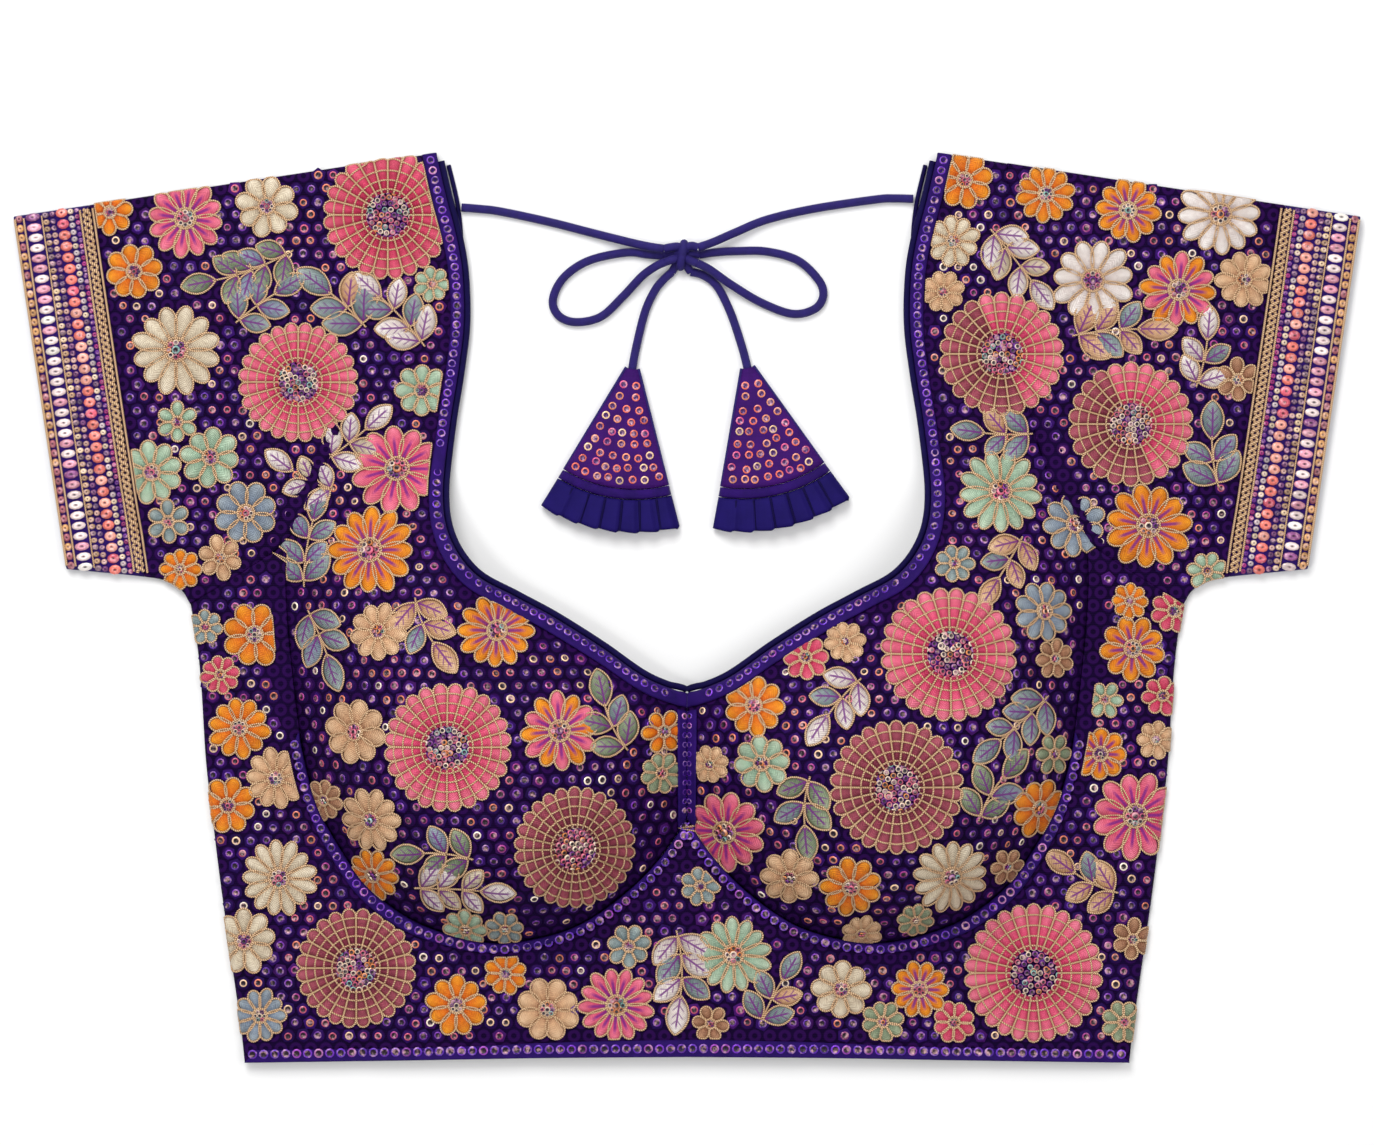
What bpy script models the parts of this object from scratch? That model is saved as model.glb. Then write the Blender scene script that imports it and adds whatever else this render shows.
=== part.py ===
"""A choli blouse laid flat, front up, with its tie cord in a bow: every cut and sewn piece is one object.

The blouse lies in the XY plane with its neck towards +Y and its underside at z = 0. Lengths in the tables and in
the working functions are millimetres, and MM turns them into metres where a mesh or a curve is made. The garment is
symmetric about x = 0, so tables give the half on the +X side. Its front is a height over the plan: a flat layer
that lies on the back, two padded cups, and a turn-down at the side and shoulder seams.
"""
import math

import bpy
import numpy as np

MM = 0.001

# Cloth and seams, mm
FRONT_WALL = 2.0
BACK_WALL = 1.8
LAYER_GAP = 0.5
SEAM_GAP = 0.3
FRONT_TOP = BACK_WALL + LAYER_GAP + FRONT_WALL
TURN_DOWN = FRONT_TOP - SEAM_GAP  # radius of the round edge at the side and shoulder seams
BACK_INSET = 4.4  # the back ends this far inside the turned-down front
TRIM_LIFT = 0.45  # clear height of a sewn-on strip over its panel
TRIM_WALL = 1.0

# Widths of the strips, mm
NECK_BAND = 6.0
CUP_TRIM = 5.5
CENTRE_TRIM = 3.2
HEM_BAND = 7.2
BORDER_WIDTH = 32.0
PIPING_RADIUS = 1.1
BACK_PIPING_RADIUS = 0.95

# Swell of the layers that lie on each other, mm
BODY_SWELL = 1.6
BODY_SWELL_HALF_WIDTH = 190.0
SWELL_STARTS_AT, SWELL_IS_FULL_AT = 120.0, 30.0
SLEEVE_SWELL = 2.0
SLEEVE_SWELL_CENTRE, SLEEVE_SWELL_REACH = (205.0, 98.0), (62.0, 82.0)

# Cups, mm
CUP_APEX = (86.0, -77.0)
CUP_RISE = 46.0
CUP_CROWN = 2.4  # exponent: higher is flatter on top and steeper at the seam

# Half outlines in plan: across, up
FRONT_NECK = [
    (102.6, 190.4), (98.4, 172.0), (94.0, 155.0), (91.4, 139.0), (90.9, 118.0), (93.2, 98.0), (97.0, 73.5),
    (99.3, 48.5), (96.2, 30.0), (86.1, 15.3), (70.1, 6.1), (53.8, -2.7), (34.4, -14.9), (16.0, -27.6), (0.0, -34.2),
]
BACK_NECK = [
    (99.6, 187.0), (95.3, 168.2), (93.7, 150.0), (93.9, 124.0), (95.6, 98.0), (99.5, 73.0), (102.6, 48.0),
    (103.0, 20.0), (100.0, -10.0), (92.0, -45.0), (75.0, -78.0), (50.0, -97.0), (25.0, -104.0), (0.0, -106.0),
]
ARMHOLE = [
    (134.4, 185.6), (134.0, 156.0), (135.2, 128.3), (138.6, 104.4), (144.1, 78.8), (154.1, 48.5), (167.6, 27.9),
    (185.2, 14.8), (208.4, 0.8),
]
CUP_SEAM = [
    (0.0, -89.5), (11.8, -106.1), (26.0, -120.3), (44.1, -132.9), (63.0, -139.2), (81.9, -140.9), (100.8, -137.1),
    (117.6, -130.0), (134.4, -116.6), (147.0, -98.5), (155.4, -81.7), (160.9, -60.7), (163.8, -39.7),
    (166.6, -14.5), (168.0, 8.0), (167.6, 27.9),
]
SIDE = [(208.4, 0.8), (205.9, -14.5), (204.0, -33.0), (202.0, -64.9), (199.1, -90.1), (194.9, -123.7), (185.2, -191.3)]
HEM = [(0.0, -188.7), (60.0, -189.2), (120.0, -190.3), (185.2, -191.3)]
CUFF_TOP, CUFF_FOOT = (282.2, 163.2), (260.0, 15.3)
SLEEVE_UNDERSIDE = [(208.4, 0.8), (211.8, 6.2), (218.4, 10.4), (230.0, 12.4), (260.0, 15.3)]

# Height of a cup beyond its sewn edge: angle round the apex in degrees, reach in mm, softness of the slope
CUP_FADE = [
    (52.0, 133.0, 1.5), (61.0, 143.0, 1.6), (70.0, 152.0, 1.6), (80.0, 148.0, 1.6), (87.0, 130.0, 1.6),
    (95.0, 109.0, 1.6), (107.0, 97.0, 1.5), (130.0, 94.0, 1.4), (153.0, 104.0, 1.4), (169.0, 100.0, 1.4),
    (188.4, 87.0, 1.2),
]
# Along the sewn edge the reach is the seam itself, and only the softness is given: angle, softness
CUP_SOFTNESS = [(188.4, 1.2), (215.0, 1.0), (372.0, 1.0), (386.0, 1.15), (400.0, 1.35), (412.0, 1.5)]

# Tie cord, mm: across, up, height of its middle
CORD_RADIUS = 1.75
KNOT_CENTRE, KNOT_SIZE = (-2.3, 146.8, 4.3), (12.4, 12.4, 8.4)
DORI = {
    "left_lead": [
        (-94.6, 167.0, 2.0), (-87.0, 166.4, 1.8), (-78.1, 165.3, 1.8), (-58.4, 161.1, 1.8), (-38.6, 156.0, 2.4),
        (-22.7, 151.9, 4.2), (-15.0, 150.2, 5.3), (-9.6, 149.4, 5.7),
    ],
    "left_loop": [
        (-9.7, 146.7, 1.8), (-16.5, 147.3, 1.8), (-25.6, 148.1, 1.8), (-41.2, 144.7, 1.8), (-51.7, 137.6, 1.8),
        (-56.3, 128.3, 1.8), (-53.8, 121.6, 1.8), (-46.6, 118.9, 1.8), (-36.1, 121.2, 1.8), (-26.9, 129.6, 2.2),
        (-18.9, 138.0, 3.6), (-13.2, 142.0, 5.2), (-9.0, 143.9, 5.7),
    ],
    "left_tail": [
        (-6.3, 140.0, 1.8), (-10.0, 136.6, 1.8), (-13.6, 132.0, 1.8), (-17.6, 123.3, 1.8), (-21.0, 109.8, 1.8),
        (-22.9, 99.6, 2.1),
    ],
    "right_lead": [
        (94.9, 170.6, 2.0), (87.0, 170.8, 1.8), (79.4, 170.4, 1.8), (53.3, 166.5, 1.8), (33.6, 161.9, 2.2),
        (20.6, 156.5, 3.8), (11.0, 152.2, 5.2), (4.6, 149.9, 5.7),
    ],
    "right_loop": [
        (5.1, 147.2, 1.8), (12.0, 148.2, 1.8), (20.6, 148.7, 1.8), (33.6, 148.5, 1.8), (46.6, 144.7, 1.8),
        (55.4, 136.3, 1.8), (57.1, 129.6, 1.8), (53.3, 124.3, 1.8), (44.1, 122.4, 1.8), (31.1, 127.1, 2.0),
        (18.6, 134.4, 4.2), (9.6, 140.6, 5.7), (4.4, 143.3, 5.8),
    ],
    "right_tail": [
        (1.6, 140.0, 1.8), (6.8, 138.6, 1.8), (12.6, 134.0, 1.8), (18.1, 123.3, 1.8), (22.7, 109.8, 1.8),
        (25.3, 99.9, 2.1),
    ],
}
CORD_POINT_SPACING = 9.0

# Latkans, mm: each is a sector of a circle, pressed flat, with its narrow end at the cord
LATKANS = {"left": ((-22.0, 105.6), -8.5), "right": ((24.0, 105.9), 13.0)}  # centre of the sector, swing in degrees
LATKAN_HALF_ANGLE = math.radians(23.2)
LATKAN_RADII = {"cone": (6.6, 56.8), "braid": (57.1, 61.0), "frill": (61.3, 75.4)}
LATKAN_TIP_HEIGHT, LATKAN_FOOT_HEIGHT = 4.4, 7.2
LATKAN_WALL = 1.2
FRILL_FOLDS, FRILL_FOLD_HEIGHT = 7, 1.1

# Hidden closing at the centre back, mm
PLACKET_HALF_WIDTH, PLACKET_WALL = 11.0, 0.7
HOOK_SIZE, HOOK_COUNT = (9.0, 5.0, 0.4), 4


# ---------------------------------------------------------------- curves in plan

def smooth(rows, steps=10):
    """Catmull-Rom curve through the rows, as a dense polyline."""
    knots = np.array(rows, float)
    knots = np.vstack([2 * knots[0] - knots[1], knots, 2 * knots[-1] - knots[-2]])
    t = np.linspace(0, 1, steps, endpoint=False)[:, None]
    spans = []
    for a, b, c, d in zip(knots, knots[1:], knots[2:], knots[3:]):
        spans.append(0.5 * (2 * b + (c - a) * t + (2 * a - 5 * b + 4 * c - d) * t**2 + (3 * b - a - 3 * c + d) * t**3))
    return np.vstack([*spans, knots[-2]])


def run_of(curve):
    """Length along the polyline at each of its points."""
    return np.concatenate([[0], np.cumsum(np.linalg.norm(np.diff(curve, axis=0), axis=1))])


def moved(curve, distance):
    """The curve moved sideways, to the right of its own direction."""
    ahead = np.gradient(curve, axis=0)
    ahead /= np.linalg.norm(ahead, axis=1)[:, None]
    return curve + distance * np.stack([ahead[:, 1], -ahead[:, 0]], axis=1)


def along(curve, lengths, aside=0.0):
    """Points at the given lengths from the polyline's start, a distance to the right of it."""
    run = run_of(curve)
    beside = moved(curve, aside) if aside else curve
    return np.stack([np.interp(lengths, run, column) for column in beside.T], axis=1)


def evenly(curve, count, aside=0.0):
    return along(curve, np.linspace(0, run_of(curve)[-1], count), aside)


def off_centre(points, gap=SEAM_GAP / 2):
    """Keeps the points of a half on its own side of the centre seam."""
    return np.column_stack([np.maximum(points[:, 0], gap), points[:, 1]])


def distance_to(curve, x, y):
    """Distance from each point to the polyline."""
    best = np.full(np.shape(x), np.inf)
    for (ax, ay), (bx, by) in zip(curve, curve[1:]):
        length = (bx - ax) ** 2 + (by - ay) ** 2
        t = np.clip(((x - ax) * (bx - ax) + (y - ay) * (by - ay)) / length, 0, 1)
        best = np.minimum(best, np.hypot(x - ax - t * (bx - ax), y - ay - t * (by - ay)))
    return best


neck_curve = smooth(FRONT_NECK)
back_neck_curve = smooth(BACK_NECK)
armhole_curve = smooth(ARMHOLE)
cup_seam_curve = smooth(CUP_SEAM)
side_curve = smooth(SIDE)
hem_curve = smooth(HEM)
shoulder_line = np.array([FRONT_NECK[0], ARMHOLE[0]])
junction = int(np.argmin(np.hypot(armhole_curve[:, 0] - CUP_SEAM[-1][0], armhole_curve[:, 1] - CUP_SEAM[-1][1])))


# ---------------------------------------------------------------- height of the front over the plan

def cup_reach():
    """Angle, reach and softness round the apex: the cup seam where it is sewn, and the fade table elsewhere."""
    sewn = cup_seam_curve - CUP_APEX
    angle = np.degrees(np.unwrap(np.arctan2(sewn[:, 1], sewn[:, 0]))) % 360
    angle = np.where(angle < CUP_FADE[-1][0] - 1, angle + 360, angle)
    softness = np.interp(angle, *np.array(CUP_SOFTNESS).T)
    fade = smooth(CUP_FADE)[1:-1] + (360, 0, 0)
    return np.vstack([np.column_stack([angle, np.hypot(*sewn.T), softness]), fade])


CUP_TABLE = cup_reach()


def cup_rise(x, y):
    """Height of the padded cups: rise * (1 - (distance / reach) ** crown) ** softness."""
    across, up = np.abs(x) - CUP_APEX[0], y - CUP_APEX[1]
    first = CUP_TABLE[0, 0]
    angle = (np.degrees(np.arctan2(up, across)) - first) % 360 + first
    reach = np.interp(angle, CUP_TABLE[:, 0], CUP_TABLE[:, 1])
    softness = np.interp(angle, CUP_TABLE[:, 0], CUP_TABLE[:, 2])
    share = np.clip(1 - (np.hypot(across, up) / reach) ** CUP_CROWN, 0, 1)
    return CUP_RISE * share**softness


def swell(x, y):
    """Slack of the front over the back, none at the sides and in the straps."""
    width = np.clip(1 - (x / BODY_SWELL_HALF_WIDTH) ** 2, 0, 1)
    return BODY_SWELL * width * np.clip((SWELL_STARTS_AT - y) / (SWELL_STARTS_AT - SWELL_IS_FULL_AT), 0, 1)


def turn_down(x, y):
    """How far the front drops in a quarter round at the side seams and the shoulder seams."""
    drop = np.zeros(np.shape(x))
    for curve in (side_curve, shoulder_line):
        inside = np.clip(distance_to(curve, np.abs(x), y) / TURN_DOWN, 0, 1)
        drop = np.maximum(drop, TURN_DOWN * (1 - np.sqrt(1 - (1 - inside) ** 2)))
    corner_fade = np.clip((y - SIDE[-1][1]) / 14.0, 0, 1)
    return drop * corner_fade


def front_height(x, y):
    return FRONT_TOP + swell(x, y) + cup_rise(x, y) - turn_down(x, y)


def sleeve_height(x, y):
    across = (x - SLEEVE_SWELL_CENTRE[0]) / SLEEVE_SWELL_REACH[0]
    up = (y - SLEEVE_SWELL_CENTRE[1]) / SLEEVE_SWELL_REACH[1]
    return FRONT_TOP + SLEEVE_SWELL * np.clip(1 - across**2 - up**2, 0, 1)


# ---------------------------------------------------------------- Blender objects

def new_collection(name):
    collection = bpy.data.collections.new(name)
    bpy.context.scene.collection.children.link(collection)
    return collection


def new_material(name, colour, roughness, metallic=0.0):
    material = bpy.data.materials.new(name)
    material.use_nodes = True
    shader = material.node_tree.nodes["Principled BSDF"]
    shader.inputs["Base Color"].default_value = (*colour, 1)
    shader.inputs["Roughness"].default_value = roughness
    shader.inputs["Metallic"].default_value = metallic
    return material


def add_object(name, data, material):
    thing = bpy.data.objects.new(name, data)
    blouse.objects.link(thing)
    data.materials.append(material)
    return thing


def grid_faces(rows, columns, wrap=False):
    """Quads of a grid of points stored row by row."""
    i, j = np.meshgrid(np.arange(rows - 1), np.arange(columns if wrap else columns - 1), indexing="ij")
    i, j = i.ravel(), j.ravel()
    after = (j + 1) % columns
    return np.stack([i * columns + j, i * columns + after, (i + 1) * columns + after, (i + 1) * columns + j], axis=1)


def panel(name, grid, wall, material, side=1, mirrored=False):
    """A piece of cloth: a grid of surface points, its wall below them. side -1 makes the other half of a pair."""
    rows, columns, _ = grid.shape
    points = grid.reshape(-1, 3) * (side, 1, 1) * MM
    faces = grid_faces(rows, columns)
    a, b, c, d = (points[faces[:, k], :2] for k in range(4))
    plan_area = np.sum((c - a)[:, 0] * (d - b)[:, 1] - (c - a)[:, 1] * (d - b)[:, 0])
    if plan_area < 0:
        faces = faces[:, ::-1]
    mesh = bpy.data.meshes.new(name)
    mesh.from_pydata(points.tolist(), [], faces.tolist())
    piece = add_object(name, mesh, material)
    if mirrored:
        mirror = piece.modifiers.new("both halves", "MIRROR")
        mirror.merge_threshold = 0.0001
        mirror.use_clip = True
    solidify = piece.modifiers.new("cloth", "SOLIDIFY")
    solidify.thickness = wall * MM
    solidify.offset = -1
    mesh.shade_smooth()
    return piece


def raised(grid, clear):
    """The grid's points moved up until they are clear of the surface by this much, measured square to it."""
    normal = np.cross(np.gradient(grid, axis=0), np.gradient(grid, axis=1))
    upright = np.abs(normal[..., 2]) / np.linalg.norm(normal, axis=2)
    return grid + np.dstack([np.zeros(upright.shape), np.zeros(upright.shape), clear / np.maximum(upright, 0.5)])


def strip(name, grid, material, side=1, mirrored=False):
    """Trim sewn on a panel: some of its points, moved out."""
    return panel(name, raised(grid, TRIM_LIFT + TRIM_WALL), TRIM_WALL, material, side, mirrored)


def ruled(start, end, near, shares, far):
    """Plan points on straight lines from start to end: distances from both ends, and shares of what lies between."""
    length = np.linalg.norm(end - start, axis=1)
    room = np.minimum(1, length / 30.0)[:, None]  # a short line takes its end distances in proportion
    first = room * near / length[:, None]
    last = 1 - room * far / length[:, None]
    middle = first[:, -1:] + np.asarray(shares) * (last[:, :1] - first[:, -1:])
    t = np.hstack([first, middle, last])[..., None]
    return start[:, None] + t * (end - start)[:, None]


def lifted(plan, height):
    x, y = plan[..., 0], plan[..., 1]
    return np.dstack([x, y, height(x, y)])


def ring_section(chord, top, wall, inner):
    """One closed section of a flattened tube over a chord: front layer, round edge, back layer, round edge."""
    radius = top[[0, -1]] / 2
    inset = wall if inner else 0.0
    turns = np.radians((50, 0, -50))
    ends = []
    for end, middle in ((0, 1), (-1, -2)):
        outward = (chord[end] - chord[middle]) / np.linalg.norm(chord[end] - chord[middle])
        centre = chord[end] - radius[end] * outward
        small = radius[end] - inset
        ends.append([(*(centre + small * math.cos(a) * outward), radius[end] + small * math.sin(a)) for a in turns])
    body = chord.copy()
    for end, middle in ((0, 1), (-1, -2)):
        body[end] += radius[end] * (chord[middle] - chord[end]) / np.linalg.norm(chord[middle] - chord[end])
    front = np.column_stack([body, top - inset])
    back = np.column_stack([body[::-1], np.full(len(body), inset)])
    return np.vstack([front, ends[1], back, ends[0][::-1]])


def flat_tube(name, plan, top, wall, material, side=1):
    """A tube of cloth pressed flat on the surface, open at both ends: plan[v, s] is its middle, top its height."""
    outer = np.array([ring_section(chord, z, wall, False) for chord, z in zip(plan, top)])
    inner = np.array([ring_section(chord, z, wall, True) for chord, z in zip(plan, top)])
    rows, columns, _ = outer.shape
    count = rows * columns
    points = np.vstack([outer.reshape(-1, 3), inner.reshape(-1, 3)]) * (side, 1, 1) * MM
    skin = grid_faces(rows, columns, wrap=True)
    j = np.arange(columns)
    after = (j + 1) % columns
    start = np.stack([j, j + count, after + count, after], axis=1)
    end = np.stack([j, after, after + count, j + count], axis=1) + count - columns
    faces = np.vstack([skin, skin[:, ::-1] + count, start, end])
    corners = points[faces]
    volume = np.einsum("ij,ij->i", corners[:, 0], np.cross(corners[:, 1], corners[:, 2])).sum()
    volume += np.einsum("ij,ij->i", corners[:, 0], np.cross(corners[:, 2], corners[:, 3])).sum()
    if volume < 0:
        faces = faces[:, ::-1]
    mesh = bpy.data.meshes.new(name)
    mesh.from_pydata(points.tolist(), [], faces.tolist())
    mesh.shade_smooth()
    return add_object(name, mesh, material)


def tube(name, points, radius, material, side=1, sides=2):
    """A round cord: a poly curve with capped ends."""
    curve = bpy.data.curves.new(name, "CURVE")
    curve.dimensions = "3D"
    curve.bevel_depth = radius * MM
    curve.bevel_resolution = sides
    curve.use_fill_caps = True
    spline = curve.splines.new("POLY")
    spline.points.add(len(points) - 1)
    spline.points.foreach_set("co", np.column_stack([points * (side, 1, 1) * MM, np.ones(len(points))]).ravel())
    spline.use_smooth = True
    return add_object(name, curve, material)


def plate(name, outline, bottom, thickness, material, side=1):
    """A flat piece of cloth from its closed outline."""
    curve = bpy.data.curves.new(name, "CURVE")
    curve.dimensions = "2D"
    curve.fill_mode = "BOTH"
    curve.extrude = thickness / 2 * MM
    spline = curve.splines.new("POLY")
    spline.points.add(len(outline) - 1)
    flat = np.column_stack([outline * (side, 1) * MM, np.zeros(len(outline)), np.ones(len(outline))])
    spline.points.foreach_set("co", flat.ravel())
    spline.use_cyclic_u = True
    piece = add_object(name, curve, material)
    piece.location.z = (bottom + thickness / 2) * MM
    return piece


# ---------------------------------------------------------------- the front

CUP_SHARES = (0.12, 0.26, 0.41, 0.56, 0.69, 0.80, 0.89, 0.955)
STRAP_LINES, SEAM_LINES, UNDERARM_LINES = 6, 18, 3
HEM_LINES = 9  # the cup seam's first lines end at the hem, and the others at the side
SHOULDER_TURN = (0.0, 0.6, 1.8, TURN_DOWN)
BODY_SHARES = (0.25, 0.5, 0.75)
SIDE_TURN = (HEM_BAND, TURN_DOWN, 1.8, 0.6, 0.0)
UNDERARM_CORNER = 6.0  # the armhole's last stretch is the edge of the side panel's corner
STRAP_ENDS_AT = (102.0, 48.0)
GORE_STEP = 5.6  # along the cup seam, where the strip beside the centre seam ends

# Pieces that meet at a seam have their points at the same places along it.
armhole_run = run_of(armhole_curve)
seam_places = np.concatenate([[0.0], np.linspace(GORE_STEP, run_of(cup_seam_curve)[-1], SEAM_LINES)])
strap_places = np.linspace(TURN_DOWN, armhole_run[junction], STRAP_LINES + 1)
under_places = np.linspace(armhole_run[junction], armhole_run[-1] - UNDERARM_CORNER, UNDERARM_LINES + 1)[1:]
armhole_places = np.concatenate([[0.0], strap_places, under_places, armhole_run[-1:]])


def length_near(curve, x, y):
    """Length along the curve at its point nearest to a place."""
    return run_of(curve)[np.argmin(np.hypot(curve[:, 0] - x, curve[:, 1] - y))]


def cup_grid():
    """A cup and its strap, from the shoulder to the centre seam, and from the neck edge to the armhole and cup seam."""
    strap_neck = length_near(neck_curve, *STRAP_ENDS_AT)
    neck_places = np.concatenate([
        SHOULDER_TURN,
        np.linspace(TURN_DOWN, strap_neck, STRAP_LINES + 1)[1:],
        np.linspace(strap_neck, run_of(neck_curve)[-1] - CENTRE_TRIM, SEAM_LINES)[1:],
        run_of(neck_curve)[-1:],
    ])
    neck = along(neck_curve, neck_places, -(2 * PIPING_RADIUS + SEAM_GAP))
    strap = along(armhole_curve, np.concatenate([SHOULDER_TURN, strap_places[1:-1]]), SEAM_GAP)
    seam = along(cup_seam_curve, seam_places, -SEAM_GAP / 2)[::-1]
    outer = np.vstack([strap, seam])
    return lifted(ruled(off_centre(neck), off_centre(outer), (0.0, NECK_BAND), CUP_SHARES, (0.0,)), front_height)


def body_grid():
    """Half the midriff and one side, from the cup seam and armhole to the hem and side seam."""
    inner = np.vstack([
        along(cup_seam_curve, seam_places, SEAM_GAP / 2), along(armhole_curve, under_places, SEAM_GAP),
    ])
    inner[0, 0] = 0.0
    outer = np.vstack([
        evenly(hem_curve, HEM_LINES + 1),
        evenly(side_curve[::-1], SEAM_LINES + UNDERARM_LINES - HEM_LINES + 1)[1:],
    ])
    return lifted(ruled(inner, outer, (0.0, CUP_TRIM), BODY_SHARES, SIDE_TURN), front_height)


def make_front():
    body = body_grid()
    panel("front_body", body, FRONT_WALL, net, mirrored=True)
    strip("hem_band", body[: HEM_LINES + 1, [-len(SIDE_TURN), -1]], band, mirrored=True)
    trim_end = int(np.argmax(body[:, 0, 1] > -52.0))
    cup = cup_grid()
    for side, name in ((-1, "left"), (1, "right")):
        panel(f"cup_{name}", cup, FRONT_WALL, net, side)
        strip(f"neck_band_{name}", cup[:, :2], band, side)
        strip(f"centre_trim_{name}", cup[-2:, 2:], band, side)
        strip(f"cup_trim_{name}", body[1:trim_end, :2], band, side)
        make_neck_piping(name, side)


def make_neck_piping(name, side):
    """The corded edge of the front neck, half a cord's width inside the outline."""
    places = np.linspace(TURN_DOWN, run_of(neck_curve)[-1] - PIPING_RADIUS, 24)
    centre = off_centre(along(neck_curve, places, -PIPING_RADIUS))
    height = front_height(centre[:, 0], centre[:, 1]) - FRONT_WALL / 2
    tube(f"neck_piping_{name}", np.column_stack([centre, height]), PIPING_RADIUS, piping, side, sides=1)


# ---------------------------------------------------------------- the back

BACK_NECK_PLACES = 22


def back_neck_line(inside):
    """The back's neck edge, a distance inside its outline, at the same places for the cloth and its piping."""
    places = np.linspace(2.0, run_of(back_neck_curve)[-1], BACK_NECK_PLACES)
    return off_centre(along(back_neck_curve, places, -inside))


def back_outline():
    """Half the back: U neck, shoulder, armhole, side and hem, inside the turned-down front."""
    neck = back_neck_line(2 * BACK_PIPING_RADIUS + SEAM_GAP + 0.1)
    armhole = along(armhole_curve, armhole_places, SEAM_GAP)
    side = moved(side_curve, BACK_INSET)
    neck = neck[distance_to(shoulder_line, *neck.T) > BACK_INSET]
    armhole = armhole[1:][armhole[1:, 0] < side[0, 0] - 3.0]
    side = side[(side[:, 1] < armhole[-1, 1] - 0.5) & (side[:, 1] > SIDE[-1][1] + 3.0)]
    centre = SEAM_GAP / 2
    hem_height = HEM[0][1] + 1.0
    return np.vstack([
        neck[::-1], armhole, evenly(side, 8),
        (side[-1, 0] - 0.4, hem_height - 1.6), (centre, hem_height),
    ])


def make_back():
    outline = back_outline()
    piping_path = back_neck_line(BACK_PIPING_RADIUS)
    heights = np.full(len(piping_path), BACK_PIPING_RADIUS + 0.05)
    for side, name in ((-1, "left"), (1, "right")):
        plate(f"back_{name}", outline, 0.0, BACK_WALL, net, side)
        tube(f"back_piping_{name}", np.column_stack([piping_path, heights]), BACK_PIPING_RADIUS, piping, side, sides=1)
    top, foot = BACK_NECK[-1][1] - 6.0, HEM[0][1] + 3.0
    placket = np.array([
        (-PLACKET_HALF_WIDTH, foot), (PLACKET_HALF_WIDTH, foot), (PLACKET_HALF_WIDTH, top), (-PLACKET_HALF_WIDTH, top),
    ])
    plate("back_placket", placket, BACK_WALL + SEAM_GAP, PLACKET_WALL, tape)
    hook_bottom = BACK_WALL + SEAM_GAP + PLACKET_WALL + 0.15
    half_long, half_wide = HOOK_SIZE[0] / 2, HOOK_SIZE[1] / 2
    for number in range(HOOK_COUNT):
        middle = top + (foot - top) * (number + 0.5) / HOOK_COUNT
        corners = np.array([
            (-half_long, middle - half_wide), (half_long, middle - half_wide),
            (half_long, middle + half_wide), (-half_long, middle + half_wide),
        ])
        plate(f"back_hook_{number + 1}", corners, hook_bottom, HOOK_SIZE[2], steel)


# ---------------------------------------------------------------- the sleeves

def border_line(distance):
    """The line parallel to the cuff, a distance inside it, from the sleeve's top edge to its underside."""
    top, foot = np.array(CUFF_TOP), np.array(CUFF_FOOT)
    down = (foot - top) / np.linalg.norm(foot - top)
    inward = np.array([down[1], -down[0]])
    fold = (np.array(ARMHOLE[0]) - top) / np.linalg.norm(np.array(ARMHOLE[0]) - top)
    start = top + fold * distance / np.dot(fold, inward)
    under = smooth(SLEEVE_UNDERSIDE)
    depth = (under - foot) @ inward
    end = np.array([np.interp(distance, depth[::-1], column[::-1]) for column in under.T])
    return start, end, under


def sleeve_plan(down=5):
    """Four-sided patch: armhole, border line, fold along the top and the underside."""
    start, end, under = border_line(BORDER_WIDTH)
    armhole = along(armhole_curve, armhole_places, -SEAM_GAP)
    s = (armhole_places / armhole_places[-1])[:, None]
    border = start + s * (end - start)
    v = np.linspace(0, 1, down)[:, None]
    fold = armhole[0] + v * (border[0] - armhole[0])
    under = along(under, np.linspace(0, length_near(under, *end), down))
    under[0], under[-1] = armhole[-1], border[-1]
    rows = []
    for t, on_fold, on_under in zip(v[:, 0], fold, under):
        straight = (1 - t) * armhole + t * border
        sides = (1 - s) * on_fold + s * on_under
        corners = (1 - s) * straight[0] + s * straight[-1]
        rows.append(straight + sides - corners)
    return np.array(rows)


def border_plan():
    """The beaded border: from just beyond the sleeve to the cuff."""
    s = (armhole_places / armhole_places[-1])[:, None]
    rows = []
    for distance in (BORDER_WIDTH - SEAM_GAP, 0.0):
        start, end, _ = border_line(distance)
        rows.append(start + s * (end - start))
    return np.array(rows)


def make_sleeves():
    plan, rim = sleeve_plan(), border_plan()
    for side, name in ((-1, "left"), (1, "right")):
        flat_tube(f"sleeve_{name}", plan, sleeve_height(plan[..., 0], plan[..., 1]), BACK_WALL, net, side)
        flat_tube(f"sleeve_border_{name}", rim, sleeve_height(rim[..., 0], rim[..., 1]), BACK_WALL, beads, side)


# ---------------------------------------------------------------- the tie cord and its latkans

def latkan_plan(centre, swing, inner, outer, rows, across):
    """Points of a sector between two radii, as rows across it."""
    radius = np.linspace(inner, outer, rows)[:, None]
    angle = math.radians(swing) + np.linspace(-LATKAN_HALF_ANGLE, LATKAN_HALF_ANGLE, across)
    return np.dstack([centre[0] + radius * np.sin(angle), centre[1] - radius * np.cos(angle)])


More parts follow.
